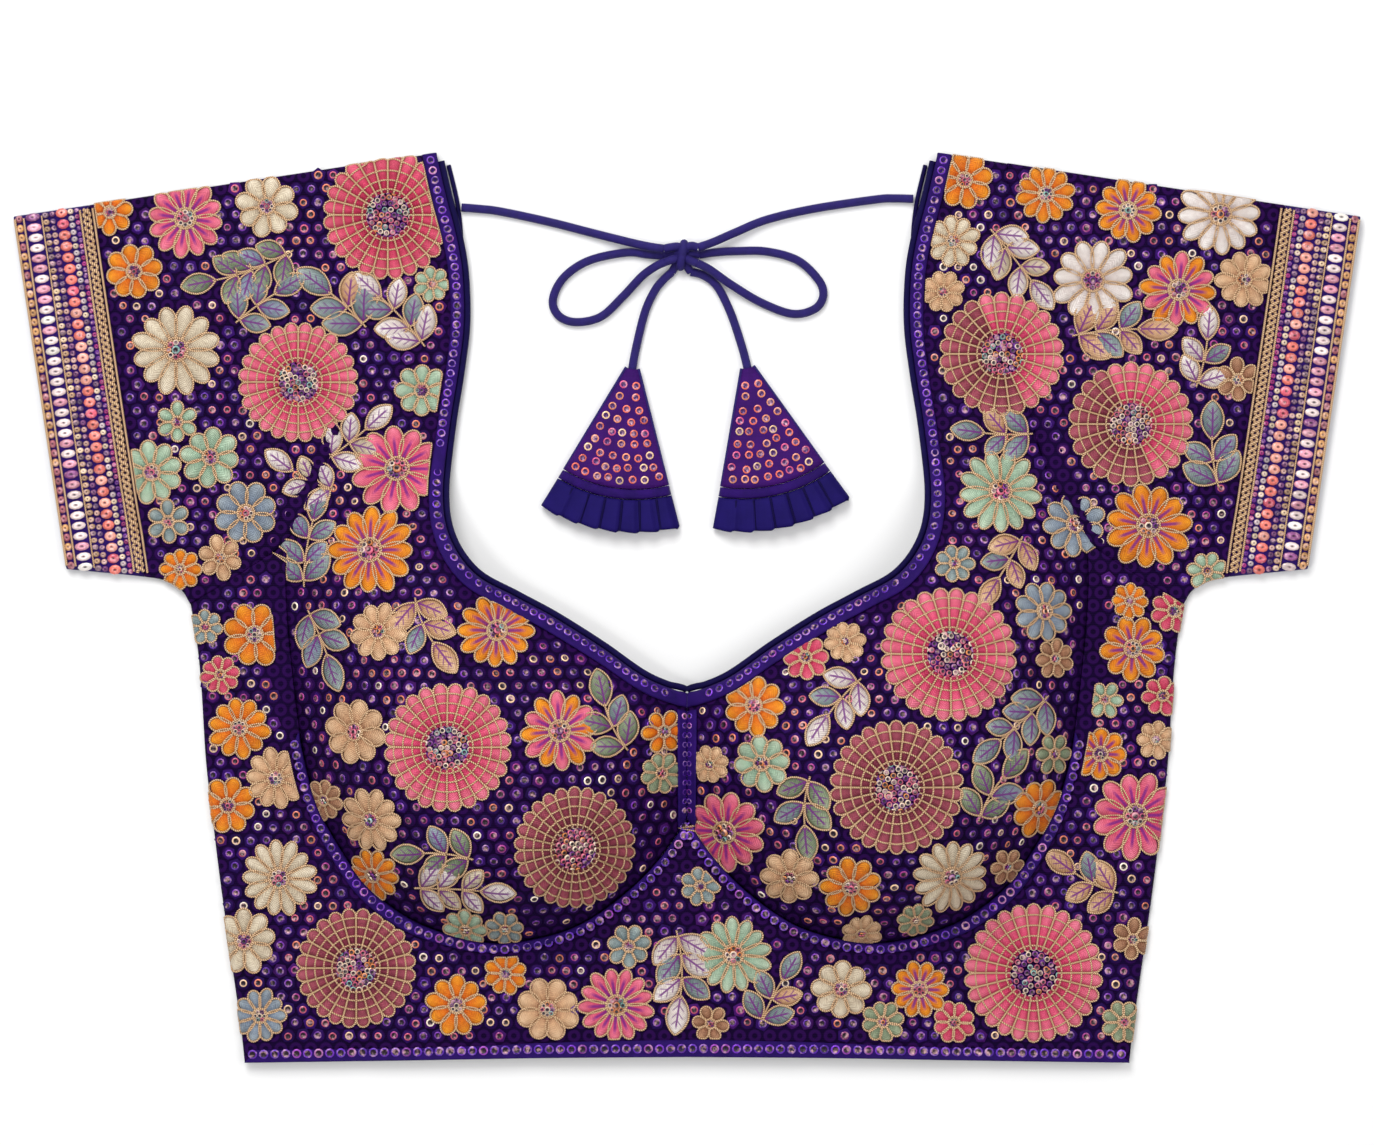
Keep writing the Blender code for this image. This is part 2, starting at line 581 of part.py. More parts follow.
def make_dori():
    for name, rows in DORI.items():
        route = smooth(rows)
        count = round(run_of(route)[-1] / CORD_POINT_SPACING) + 2
        side, stretch = name.split("_")
        tube(f"dori_{side}_{stretch}", evenly(route, count), CORD_RADIUS, cord)
    bpy.ops.mesh.primitive_uv_sphere_add(segments=14, ring_count=8, radius=0.5)
    knot = bpy.context.object
    knot.name = knot.data.name = "dori_knot"
    for linked in knot.users_collection:
        linked.objects.unlink(knot)
    blouse.objects.link(knot)
    knot.location = np.array(KNOT_CENTRE) * MM
    knot.scale = np.array(KNOT_SIZE) * MM
    knot.data.materials.append(cord)
    knot.data.shade_smooth()


def make_latkans():
    cloths = {"cone": latkan_cloth, "braid": band, "frill": cord}
    for name, (centre, swing) in LATKANS.items():
        for part, (inner, outer) in LATKAN_RADII.items():
            rows = 4 if part == "cone" else 2
            across = 2 * FRILL_FOLDS + 1 if part == "frill" else FRILL_FOLDS
            plan = latkan_plan(centre, swing, inner, outer, rows, across)
            depth = (np.linspace(inner, outer, rows) - LATKAN_RADII["cone"][0]) / LATKAN_RADII["cone"][1]
            middle = 1 - np.linspace(-1, 1, across) ** 2
            tip_to_foot = np.clip(depth, 0, 1)[:, None]
            top = LATKAN_TIP_HEIGHT + (LATKAN_FOOT_HEIGHT - LATKAN_TIP_HEIGHT) * tip_to_foot * (0.4 + 0.6 * middle)
            if part == "frill":
                folds = np.where(np.arange(across) % 2, FRILL_FOLD_HEIGHT, 0.0)
                top = top + folds * np.array([[0.5], [1.0]])
            flat_tube(f"latkan_{name}_{part}", plan, top, LATKAN_WALL, cloths[part])


# ---------------------------------------------------------------- the whole blouse

for old in list(bpy.data.objects):
    bpy.data.objects.remove(old, do_unlink=True)
blouse = new_collection("choli_blouse")
net = new_material("sequined net", (0.055, 0.012, 0.16), 0.6)
band = new_material("beaded band", (0.16, 0.03, 0.36), 0.45)
beads = new_material("beaded border", (0.62, 0.4, 0.36), 0.4, 0.3)
piping = new_material("navy piping", (0.02, 0.012, 0.11), 0.65)
cord = new_material("navy cord", (0.035, 0.015, 0.17), 0.6)
latkan_cloth = new_material("latkan cloth", (0.14, 0.02, 0.27), 0.55)
tape = new_material("hook tape", (0.03, 0.012, 0.12), 0.8)
steel = new_material("hook wire", (0.6, 0.6, 0.62), 0.3, 1.0)
make_front()
make_back()
make_sleeves()
make_dori()
make_latkans()
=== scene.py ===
# %% [markdown]
# # A sequined choli blouse, laid flat
# This lesson gives a short embroidered blouse its cloth, its sequins and its padded flowers. The plain shape comes
# from a CAD model in the same place. Lengths in the tables are millimetres, and `MM` turns them into metres when a
# mesh is made. The blouse lies in the XY plane with its neck towards +Y, and most tables give the half on the +X side.

# %% Start: the shared frame and the unit
import math

import bpy
import numpy as np
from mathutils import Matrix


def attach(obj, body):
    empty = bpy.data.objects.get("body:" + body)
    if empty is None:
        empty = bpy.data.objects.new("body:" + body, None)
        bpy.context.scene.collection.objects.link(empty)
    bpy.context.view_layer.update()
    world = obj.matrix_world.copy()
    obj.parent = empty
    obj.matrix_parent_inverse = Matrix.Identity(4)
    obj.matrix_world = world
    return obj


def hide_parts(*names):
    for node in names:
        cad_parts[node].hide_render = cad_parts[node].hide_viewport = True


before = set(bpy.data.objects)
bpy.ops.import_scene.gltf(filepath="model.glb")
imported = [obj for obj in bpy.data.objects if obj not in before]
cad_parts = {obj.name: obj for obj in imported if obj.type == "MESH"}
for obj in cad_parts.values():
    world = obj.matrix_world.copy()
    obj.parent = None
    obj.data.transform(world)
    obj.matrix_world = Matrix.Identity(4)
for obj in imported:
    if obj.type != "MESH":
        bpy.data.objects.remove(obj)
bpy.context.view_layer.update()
MM = 0.001
SIDES = ((-1, "left"), (1, "right"))
random = np.random.default_rng(11)

# %% [markdown]
# ## The camera
# A flat garment is shown from straight above. A long lens keeps the straps and the hem at one scale, and its distance
# follows from the width of the view.

# %% Camera
VIEW_WIDTH, VIEW_MIDDLE = 577.0, (0.0, 13.9)
LENS, SENSOR = 100.0, 36.0
camera_data = bpy.data.cameras.new("camera")
camera_data.lens, camera_data.sensor_width = LENS, SENSOR
camera = bpy.data.objects.new("camera", camera_data)
bpy.context.scene.collection.objects.link(camera)
camera.location = (VIEW_MIDDLE[0] * MM, VIEW_MIDDLE[1] * MM, VIEW_WIDTH * MM * LENS / SENSOR)
bpy.context.scene.camera = camera
print("camera height, m:", round(camera.location.z, 3))

# %% [markdown]
# ## Lines in plan
# Every edge of the blouse is drawn by a few points, and a smooth curve passes through them. A place on an edge is
# then just a length along it, and a strip beside it is the same curve moved sideways.

# %% Curves
def smooth(rows, steps=10):
    """Catmull-Rom curve: each span is a cubic through its two points, with the slope set by their neighbours."""
    knots = np.array(rows, float)
    knots = np.vstack([2 * knots[0] - knots[1], knots, 2 * knots[-1] - knots[-2]])
    t = np.linspace(0, 1, steps, endpoint=False)[:, None]
    spans = [
        0.5 * (2 * b + (c - a) * t + (2 * a - 5 * b + 4 * c - d) * t**2 + (3 * b - a - 3 * c + d) * t**3)
        for a, b, c, d in zip(knots, knots[1:], knots[2:], knots[3:])
    ]
    return np.vstack([*spans, knots[-2]])


def run_of(curve):
    """Length along the curve at each of its points."""
    return np.concatenate([[0], np.cumsum(np.linalg.norm(np.diff(curve, axis=0), axis=1))])


def moved(curve, distance):
    """The curve moved sideways, to the right of its own direction."""
    ahead = np.gradient(curve, axis=0)
    ahead /= np.linalg.norm(ahead, axis=1)[:, None]
    return curve + distance * np.stack([ahead[:, 1], -ahead[:, 0]], axis=1)


def along(curve, lengths, aside=0.0):
    """Points at the given lengths from the start, a distance to the right of the curve."""
    beside = moved(curve, aside) if aside else curve
    return np.stack([np.interp(lengths, run_of(curve), column) for column in beside.T], axis=1)


def distance_to(curve, x, y):
    """Distance from each place to the nearest point of the curve."""
    best = np.full(np.shape(x), np.inf)
    for (ax, ay), (bx, by) in zip(curve, curve[1:]):
        length = (bx - ax) ** 2 + (by - ay) ** 2
        t = np.clip(((x - ax) * (bx - ax) + (y - ay) * (by - ay)) / length, 0, 1)
        best = np.minimum(best, np.hypot(x - ax - t * (bx - ax), y - ay - t * (by - ay)))
    return best


FRONT_NECK = [
    (102.6, 190.4), (98.4, 172.0), (94.0, 155.0), (91.4, 139.0), (90.9, 118.0), (93.2, 98.0), (97.0, 73.5),
    (99.3, 48.5), (96.2, 30.0), (86.1, 15.3), (70.1, 6.1), (53.8, -2.7), (34.4, -14.9), (16.0, -27.6), (0.0, -34.2),
]
ARMHOLE = [
    (134.4, 185.6), (134.0, 156.0), (135.2, 128.3), (138.6, 104.4), (144.1, 78.8), (154.1, 48.5), (167.6, 27.9),
    (185.2, 14.8), (208.4, 0.8),
]
CUP_SEAM = [
    (0.0, -89.5), (11.8, -106.1), (26.0, -120.3), (44.1, -132.9), (63.0, -139.2), (81.9, -140.9), (100.8, -137.1),
    (117.6, -130.0), (134.4, -116.6), (147.0, -98.5), (155.4, -81.7), (160.9, -60.7), (163.8, -39.7),
    (166.6, -14.5), (168.0, 8.0), (167.6, 27.9),
]
SIDE = [(208.4, 0.8), (205.9, -14.5), (204.0, -33.0), (202.0, -64.9), (199.1, -90.1), (194.9, -123.7), (185.2, -191.3)]
HEM = [(0.0, -188.7), (60.0, -189.2), (120.0, -190.3), (185.2, -191.3)]
CUFF_TOP, CUFF_FOOT = (282.2, 163.2), (260.0, 15.3)
SLEEVE_UNDERSIDE = [(208.4, 0.8), (211.8, 6.2), (218.4, 10.4), (230.0, 12.4), (260.0, 15.3)]
neck_curve, armhole_curve, cup_seam_curve = smooth(FRONT_NECK), smooth(ARMHOLE), smooth(CUP_SEAM)
side_curve, hem_curve, underside_curve = smooth(SIDE), smooth(HEM), smooth(SLEEVE_UNDERSIDE)
shoulder_line = np.array([FRONT_NECK[0], ARMHOLE[0]])
fold_line = np.array([ARMHOLE[0], CUFF_TOP])
junction = int(np.argmin(np.hypot(*(armhole_curve - CUP_SEAM[-1]).T)))
print("neck edge", round(run_of(neck_curve)[-1]), "mm, cup seam", round(run_of(cup_seam_curve)[-1]), "mm, each side")

# %% [markdown]
# ## Meshes from arrays
# Each piece is worked out as whole arrays of points, and handed to Blender in one go. Beside its place, a point may
# carry a tint and a lay. The lay says where on the stitched shape the point is, so that stitches can follow it.

# %% Mesh helpers
def grid_faces(rows, columns, wrap=False):
    """Quads of a grid of points stored row by row; wrap joins the last column to the first."""
    i, j = np.meshgrid(np.arange(rows - 1), np.arange(columns if wrap else columns - 1), indexing="ij")
    i, j = i.ravel(), j.ravel()
    after = (j + 1) % columns
    return np.stack([i * columns + j, i * columns + after, (i + 1) * columns + after, (i + 1) * columns + j], axis=1)


def copies_of(faces, count, size):
    """The same faces for a number of copies of a shape that has that many points."""
    return (faces[None] + size * np.arange(count)[:, None, None]).reshape(-1, faces.shape[1])


def add_piece(name, points, faces, material, tint=None, lay=None, ends=()):
    """A mesh object from points in mm and quads, with tint and lay stored on its points; ends are closing faces."""
    mesh = bpy.data.meshes.new(name)
    mesh.from_pydata((np.asarray(points).reshape(-1, 3) * MM).tolist(), [], faces.tolist() + [list(e) for e in ends])
    for key, values in (("tint", tint), ("lay", lay)):
        if values is not None:
            held = mesh.attributes.new(key, "FLOAT_VECTOR", "POINT")
            held.data.foreach_set("vector", np.ascontiguousarray(values, np.float32).ravel())
    mesh.shade_smooth()
    mesh.materials.append(material)
    piece = bpy.data.objects.new(name, mesh)
    bpy.context.scene.collection.objects.link(piece)
    return piece


def sewn_on(piece):
    """Embroidery, fixed to the garment."""
    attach(piece, "root")


def linear(*rgb):
    """A colour given as on a screen, 0 to 255, turned into the linear light that a shader works in."""
    value = np.array(rgb, float) / 255
    return np.where(value <= 0.04045, value / 12.92, ((value + 0.055) / 1.055) ** 2.4)


print("helpers ready")

# %% [markdown]
# ## Shader maths
# A material is a net of nodes. Wrapping one output socket in a small class lets a sum of sockets be written as a
# sum, and one method makes any other node.

# %% Shader helper
class Shade:
    """One output socket of a material."""

    def __init__(self, tree, socket=None):
        self.tree, self.socket = tree, socket

    def node(self, kind, settings=None, inputs=None, out=0):
        made = self.tree.nodes.new(kind)
        for key, value in (settings or {}).items():
            if key == "stops":
                while len(made.color_ramp.elements) < len(value):
                    made.color_ramp.elements.new(0.5)
                for element, (place, colour) in zip(made.color_ramp.elements, value):
                    element.position, element.color = place, (*colour, 1)
            else:
                setattr(made, key, value)
        for key, value in (inputs or {}).items():
            if isinstance(value, Shade):
                self.tree.links.new(value.socket, made.inputs[key])
            else:
                made.inputs[key].default_value = value
        return Shade(self.tree, made.outputs[out])

    def maths(self, operation, a, b=0.0):
        return self.node("ShaderNodeMath", {"operation": operation}, {0: a, 1: b})

    def __add__(self, other):
        return self.maths("ADD", self, other)

    def __mul__(self, other):
        return self.maths("MULTIPLY", self, other)

    def __sub__(self, other):
        return self.maths("SUBTRACT", self, other)

    def __rsub__(self, other):
        return self.maths("SUBTRACT", other, self)

    __radd__, __rmul__ = __add__, __mul__

    def over(self, low, high):
        """0 below low, 1 above high, and a straight line between."""
        return self.node("ShaderNodeMapRange", {}, {"Value": self, "From Min": low, "From Max": high})

    def blend(self, first, second, way="MIX"):
        """first where this is 0, second where it is 1; both are colours."""
        return self.node(
            "ShaderNodeMix", {"data_type": "RGBA", "blend_type": way},
            {"Factor": self, 6: first if isinstance(first, Shade) else (*first, 1),
             7: second if isinstance(second, Shade) else (*second, 1)}, out=2,
        )

    def part(self, index):
        """One of the three numbers of a vector."""
        return self.node("ShaderNodeSeparateXYZ", {}, {0: self}, out=index)

    def wave(self, length, phase=0.0):
        """0 to 1 and back over each length, as a sine."""
        return 0.5 + 0.5 * self.maths("SINE", self * (2 * math.pi / length) + phase)


def new_material(name, roughness=0.6, metallic=0.0, **fixed):
    """A material and its starting socket; fixed values are set on the shader itself."""
    material = bpy.data.materials.new(name)
    material.use_nodes = True
    shader = material.node_tree.nodes["Principled BSDF"]
    shader.inputs["Roughness"].default_value = roughness
    shader.inputs["Metallic"].default_value = metallic
    for key, value in fixed.items():
        shader.inputs[key.replace("_", " ")].default_value = value
    return material, Shade(material.node_tree), shader


def finish_material(start, shader, colour=None, roughness=None, height=None, deep=0.2):
    """Joins the colour, the roughness and a height in mm to the shader."""
    for key, value in (("Base Color", colour), ("Roughness", roughness)):
        if value is not None:
            start.tree.links.new(value.socket, shader.inputs[key])
    if height is not None:
        bump = start.node("ShaderNodeBump", {}, {"Strength": 0.8, "Distance": deep * MM, "Height": height})
        start.tree.links.new(bump.socket, shader.inputs["Normal"])


def place_in_mm(start):
    """Where on the object a point is, in mm."""
    place = start.node("ShaderNodeTexCoord", {}, {}, out=3)
    return start.node("ShaderNodeVectorMath", {"operation": "SCALE"}, {0: place, "Scale": 1 / MM})


def stored(start, key):
    """The tint or the lay that the points carry."""
    return start.node("ShaderNodeAttribute", {"attribute_name": key}, {}, out=1)


def noise(start, place, size, detail=3.0):
    """Soft cloud of values round 0.5, with lumps of about that size in mm."""
    return start.node("ShaderNodeTexNoise", {}, {"Vector": place, "Scale": 1 / size, "Detail": detail})


print("shader helper ready")

# %% [markdown]
# ## The dori
# The dori is the tie cord that holds the deep neck together: a narrow tube of the lining cloth, cut on the cross
# and turned. Each stretch of the bow is its own tube along a route: out of the neck seam, round a loop and down to
# a latkan. The tube is a ring of points carried along the route, so that its weave can follow it.

# %% Dori: the cloth
dori_cloth, s, shader = new_material("dori_cloth", 0.62, Specular_IOR_Level=0.3)
lay = stored(s, "lay")
length_on, turn_on = lay.part(0), lay.part(1)
warp = (length_on + turn_on * 1.7).wave(0.55)
weft = (length_on - turn_on * 1.7).wave(0.55)
twill = warp * weft
lumps = noise(s, place_in_mm(s), 3.0)
colour = (twill * 0.6 + lumps * 0.5).over(0.1, 0.9).blend(linear(18, 8, 74), linear(48, 28, 132))
finish_material(s, shader, colour, None, twill + lumps * 0.6, 0.12)
print("dori cloth:", len(dori_cloth.node_tree.nodes), "nodes")

# %% Dori: tubes along their routes
DORI_RADIUS = 1.75
DORI = {
    "left_lead": [
        (-94.6, 167.0, 2.0), (-87.0, 166.4, 1.8), (-78.1, 165.3, 1.8), (-58.4, 161.1, 1.8), (-38.6, 156.0, 2.4),
        (-22.7, 151.9, 4.2), (-15.0, 150.2, 5.3), (-9.6, 149.4, 5.7),
    ],
    "left_loop": [
        (-9.7, 146.7, 1.8), (-16.5, 147.3, 1.8), (-25.6, 148.1, 1.8), (-41.2, 144.7, 1.8), (-51.7, 137.6, 1.8),
        (-56.3, 128.3, 1.8), (-53.8, 121.6, 1.8), (-46.6, 118.9, 1.8), (-36.1, 121.2, 1.8), (-26.9, 129.6, 2.2),
        (-18.9, 138.0, 3.6), (-13.2, 142.0, 5.2), (-9.0, 143.9, 5.7),
    ],
    "left_tail": [
        (-6.3, 140.0, 1.8), (-10.0, 136.6, 1.8), (-13.6, 132.0, 1.8), (-17.6, 123.3, 1.8), (-21.0, 109.8, 1.8),
        (-22.9, 99.6, 2.1), (-23.3, 92.0, 2.2),
    ],
    "right_lead": [
        (94.9, 170.6, 2.0), (87.0, 170.8, 1.8), (79.4, 170.4, 1.8), (53.3, 166.5, 1.8), (33.6, 161.9, 2.2),
        (20.6, 156.5, 3.8), (11.0, 152.2, 5.2), (4.6, 149.9, 5.7),
    ],
    "right_loop": [
        (5.1, 147.2, 1.8), (12.0, 148.2, 1.8), (20.6, 148.7, 1.8), (33.6, 148.5, 1.8), (46.6, 144.7, 1.8),
        (55.4, 136.3, 1.8), (57.1, 129.6, 1.8), (53.3, 124.3, 1.8), (44.1, 122.4, 1.8), (31.1, 127.1, 2.0),
        (18.6, 134.4, 4.2), (9.6, 140.6, 5.7), (4.4, 143.3, 5.8),
    ],
    "right_tail": [
        (1.6, 140.0, 1.8), (6.8, 138.6, 1.8), (12.6, 134.0, 1.8), (18.1, 123.3, 1.8), (22.7, 109.8, 1.8),
        (25.3, 99.9, 2.1), (26.6, 92.5, 2.2),
    ],
}


def tubes(paths, radius, sides):
    """Rings of points round many lines at once: centre + radius * (cos * sideways + sin * upwards)."""
    ahead = np.gradient(paths, axis=-2)
    ahead /= np.maximum(np.linalg.norm(ahead, axis=-1, keepdims=True), 1e-9)
    sideways = np.cross(ahead, (0.0, 0.0, 1.0))
    sideways /= np.maximum(np.linalg.norm(sideways, axis=-1, keepdims=True), 1e-9)
    upwards = np.cross(sideways, ahead)
    turn = np.linspace(0, 2 * math.pi, sides, endpoint=False)[:, None]
    rings = np.cos(turn) * sideways[..., None, :] + np.sin(turn) * upwards[..., None, :]
    return paths[..., None, :] + np.asarray(radius)[..., None, None] * rings


def tube_faces(count, sides):
    """Quads of one such tube, facing out."""
    return grid_faces(count, sides, wrap=True)[:, ::-1]


def tube_lay(paths, sides, width):
    """Length along each line, and distance round it, for the points of its tube."""
    step = np.linalg.norm(np.diff(paths, axis=-2), axis=-1)
    run = np.concatenate([np.zeros(step.shape[:-1] + (1,)), np.cumsum(step, axis=-1)], axis=-1)
    turn = np.arange(sides) / sides * width
    return np.stack(np.broadcast_arrays(run[..., None], turn, 0.0), axis=-1)


def tube_set(name, sets, sides, width, material):
    """One mesh of many tubes: sets of lines of one length, each with its radius; width is the way round a tube."""
    points, faces, lays, total = [], [], [], 0
    for lines, radius in sets:
        count = lines.shape[1]
        points.append(tubes(lines, np.full(lines.shape[:2], radius), sides).reshape(-1, 3))
        lays.append(tube_lay(lines, sides, width).reshape(-1, 3))
        faces.append(copies_of(tube_faces(count, sides), len(lines), count * sides) + total)
        total += len(points[-1])
    return add_piece(name, np.vstack(points), np.vstack(faces), material, lay=np.vstack(lays))


CORD_PITCH = 0.9


def cord_piece(name, route, radius, material, sides=14):
    """One closed tube along a route of points in mm, with its rings CORD_PITCH apart."""
    count = max(12, round(run_of(route)[-1] / CORD_PITCH))
    path = along(route, np.linspace(0, run_of(route)[-1], count))
    skin = tubes(path, np.full(count, radius), sides)
    ends = (np.arange(sides), np.arange(sides)[::-1] + (count - 1) * sides)
    piece = add_piece(
        name, skin, tube_faces(count, sides), material, lay=tube_lay(path, sides, 2 * math.pi * radius),
        ends=[e.tolist() for e in ends],
    )
    return piece, path


dori, dori_path = {}, {}
for key, rows in DORI.items():
    dori[key], dori_path[key] = cord_piece(f"dori_{key}_cord", smooth(rows), DORI_RADIUS, dori_cloth)
    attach(dori[key], "root")
    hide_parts(f"dori_{key}")
print({key: round(run_of(path)[-1], 1) for key, path in dori_path.items()}, "mm of cord")

# %% [markdown]
# ## The lie of the cloth
# The front lies on the back in a thin flat layer, swells over the two padded cups, and turns down in a round edge at
# the side and shoulder seams. One formula gives its height everywhere, so cloth, sequins and flowers all follow it.
# Creases are soft troughs and ridges listed one by one, each with its own ends, depth and width.

# %% Height of the front
BACK_WALL, FRONT_WALL, SEAM_GAP, FRONT_TOP, TURN_DOWN = 1.8, 2.0, 0.3, 4.3, 4.0
CUP_APEX, CUP_RISE, CUP_CROWN = (86.0, -77.0), 46.0, 2.4
CUP_FADE = [  # angle round the apex, reach in mm, softness of the slope, where the cup isn't sewn down
    (52.0, 133.0, 1.5), (61.0, 143.0, 1.6), (70.0, 152.0, 1.6), (80.0, 148.0, 1.6), (87.0, 130.0, 1.6),
    (95.0, 109.0, 1.6), (107.0, 97.0, 1.5), (130.0, 94.0, 1.4), (153.0, 104.0, 1.4), (169.0, 100.0, 1.4),
    (188.4, 87.0, 1.2),
]
CUP_SOFTNESS = [(188.4, 1.2), (215.0, 1.0), (372.0, 1.0), (386.0, 1.15), (400.0, 1.35), (412.0, 1.5)]
sewn = cup_seam_curve - CUP_APEX
sewn_angle = np.degrees(np.unwrap(np.arctan2(sewn[:, 1], sewn[:, 0]))) % 360
sewn_angle = np.where(sewn_angle < CUP_FADE[-1][0] - 1, sewn_angle + 360, sewn_angle)
sewn_softness = np.interp(sewn_angle, *np.array(CUP_SOFTNESS).T)
cup_table = np.vstack([
    np.column_stack([sewn_angle, np.hypot(*sewn.T), sewn_softness]), smooth(CUP_FADE)[1:-1] + (360, 0, 0),
])


SWELL_RISE, SWELL_HALF_WIDTH, SWELL_TOP, SWELL_FADE = 1.6, 190, 120, 90


def front_height(x, y):
    """Top of the front: flat layer + swell + cup rise * (1 - (distance / reach) ** crown) ** softness - turn-down."""
    x = np.abs(x)
    across, up = x - CUP_APEX[0], y - CUP_APEX[1]
    first = cup_table[0, 0]
    angle = (np.degrees(np.arctan2(up, across)) - first) % 360 + first
    reach = np.interp(angle, cup_table[:, 0], cup_table[:, 1])
    softness = np.interp(angle, cup_table[:, 0], cup_table[:, 2])
    cup = CUP_RISE * np.clip(1 - (np.hypot(across, up) / reach) ** CUP_CROWN, 0, 1) ** softness
    swell = SWELL_RISE * np.clip(1 - (x / SWELL_HALF_WIDTH) ** 2, 0, 1) * np.clip((SWELL_TOP - y) / SWELL_FADE, 0, 1)
    edge = np.minimum(distance_to(side_curve, x, y), distance_to(shoulder_line, x, y))
    drop = TURN_DOWN * (1 - np.sqrt(1 - (1 - np.clip(edge / TURN_DOWN, 0, 1)) ** 2))
    return FRONT_TOP + swell + cup - drop * np.clip((y - SIDE[-1][1]) / 14, 0, 1)


SLEEVE_MIDDLE, SLEEVE_SPREAD, SLEEVE_AIR = (205, 98), (62, 82), 2


def sleeve_air(x, y):
    """Height of a sleeve pressed flat with some air in it, and the distance to its fold or underside."""
    away = ((x - SLEEVE_MIDDLE[0]) / SLEEVE_SPREAD[0]) ** 2, ((y - SLEEVE_MIDDLE[1]) / SLEEVE_SPREAD[1]) ** 2
    top = FRONT_TOP + SLEEVE_AIR * np.clip(1 - away[0] - away[1], 0, 1)
    return top, np.minimum(distance_to(fold_line, x, y), distance_to(underside_curve, x, y))


def sleeve_height(x, y):
    """Top of a sleeve, which is round along its fold and underside."""
    top, room = sleeve_air(np.abs(x), y)
    return top / 2 + np.sqrt(np.maximum((top / 2) ** 2 - np.maximum(top / 2 - room, 0) ** 2, 0))


print("front over the apex:", front_height(np.array([86.0]), np.array([-77.0])).round(1), "mm")

# %% Creases, and one height for the whole garment
CREASES = [  # from, to, depth (a ridge is above 0), half width
    (-147, 74, -172, 24, -1.3, 4.5), (-176, 21, -204, 6, -1.1, 4.0), (-196, -8, -172, 1, -0.7, 4.0),
    (-198, -28, -176, -20, 0.6, 5.0), (-197, -66, -174, -58, -0.7, 4.5), (-193, -104, -170, -92, -0.6, 5.0),
    (-126, 66, -142, 40, -0.6, 5.0), (-98, 44, -128, 52, 0.6, 6.0), (-106, 100, -128, 92, -0.5, 6.0),
    (-216, 15, -236, 44, -1.1, 5.0), (-226, 18, -251, 33, -0.7, 4.0), (-162, 130, -196, 140, -0.6, 7.0),
    (-150, 108, -178, 92, 0.6, 6.0), (-60, -146, -66, -184, -0.6, 6.0), (-124, -140, -138, -184, -0.7, 7.0),
    (-18, -132, -12, -180, 0.5, 7.0), (-160, -140, -178, -182, 0.6, 8.0),
    (148, 72, 171, 26, -1.4, 4.5), (178, 20, 203, 7, -0.9, 4.0), (199, -14, 174, -6, -0.6, 4.0),
    (198, -46, 176, -38, -0.7, 4.5), (192, -88, 168, -80, 0.6, 5.0), (190, -128, 166, -112, -0.6, 5.0),
    (124, 70, 140, 46, -0.5, 5.0), (104, 60, 132, 58, 0.5, 6.0), (104, 124, 130, 118, -0.5, 7.0),
    (218, 16, 240, 50, -0.9, 5.0), (232, 17, 252, 40, -0.6, 4.0), (156, 128, 190, 120, -0.7, 7.0),
    (152, 150, 184, 156, 0.5, 7.0), (48, -146, 54, -184, -0.5, 6.0), (108, -142, 120, -184, -0.7, 7.0),
    (150, -136, 162, -180, 0.5, 8.0), (26, -128, 22, -176, -0.4, 7.0),
]
GRID_STEP, PUCKER_HEIGHT, PUCKER_REACH = 0.75, 0.22, 5
PUCKERED = ((cup_seam_curve, 8.5), (armhole_curve, 10.0))  # seam, length of one pucker
grid_x, grid_y = np.arange(-285, 285.1, GRID_STEP), np.arange(-195, 193, GRID_STEP)


def crease_depth(creases, x, y):
    """Sum of soft troughs and ridges: depth * exp(-(distance / half width) ** 2)."""
    fold = np.zeros(np.shape(x))
    for x1, y1, x2, y2, depth, width in creases:
        fold += depth * np.exp(-((distance_to([(x1, y1), (x2, y2)], x, y) / width) ** 2))
    return fold


def garment_height(x, y):
    """Top of the front or of a sleeve, with the creases in it, and puckers beside the cup seams and armholes."""
    on_sleeve = (np.abs(x) > np.interp(y, armhole_curve[::-1, 1], armhole_curve[::-1, 0])) & (y > ARMHOLE[-1][1])
    height = np.where(on_sleeve, sleeve_height(x, y), front_height(x, y))
    fold = crease_depth(CREASES, x, y)
    for seam, pitch in PUCKERED:
        ripple = np.sin(2 * math.pi * (x + 0.8 * y) / pitch + 2 * np.sin(y / 17))
        fold += PUCKER_HEIGHT * ripple * np.exp(-distance_to(seam, np.abs(x), y) / PUCKER_REACH)
    return height + fold * np.clip((height - 1) / 3, 0, 1)


height_map = garment_height(*np.meshgrid(grid_x, grid_y))
slope_y, slope_x = np.gradient(height_map, GRID_STEP)
print("height map:", height_map.shape, "highest", height_map.max().round(1), "mm")

# %% Looking the height up
def looked_up(values, x, y):
    """Value of a map at each place, on a straight line between the four points round it."""
    i = np.clip((x - grid_x[0]) / GRID_STEP, 0, len(grid_x) - 1.001)
    j = np.clip((y - grid_y[0]) / GRID_STEP, 0, len(grid_y) - 1.001)
    i0, j0 = i.astype(int), j.astype(int)
    u, v = i - i0, j - j0
    near = values[j0, i0] * (1 - u) + values[j0, i0 + 1] * u
    far = values[j0 + 1, i0] * (1 - u) + values[j0 + 1, i0 + 1] * u
    return near * (1 - v) + far * v


def laid(x, y, clear=0.0):
    """Points on the cloth at places in plan, moved out square to it by clear."""
    gx, gy = looked_up(slope_x, x, y), looked_up(slope_y, x, y)
    out = np.stack([-gx, -gy, np.ones(np.shape(gx))], axis=-1)
    out /= np.linalg.norm(out, axis=-1, keepdims=True)
    return np.stack([x, y, looked_up(height_map, x, y)], axis=-1) + out * np.asarray(clear)[..., None]


print("cloth at the gore:", laid(np.array([0.0]), np.array([-150.0])).round(2))

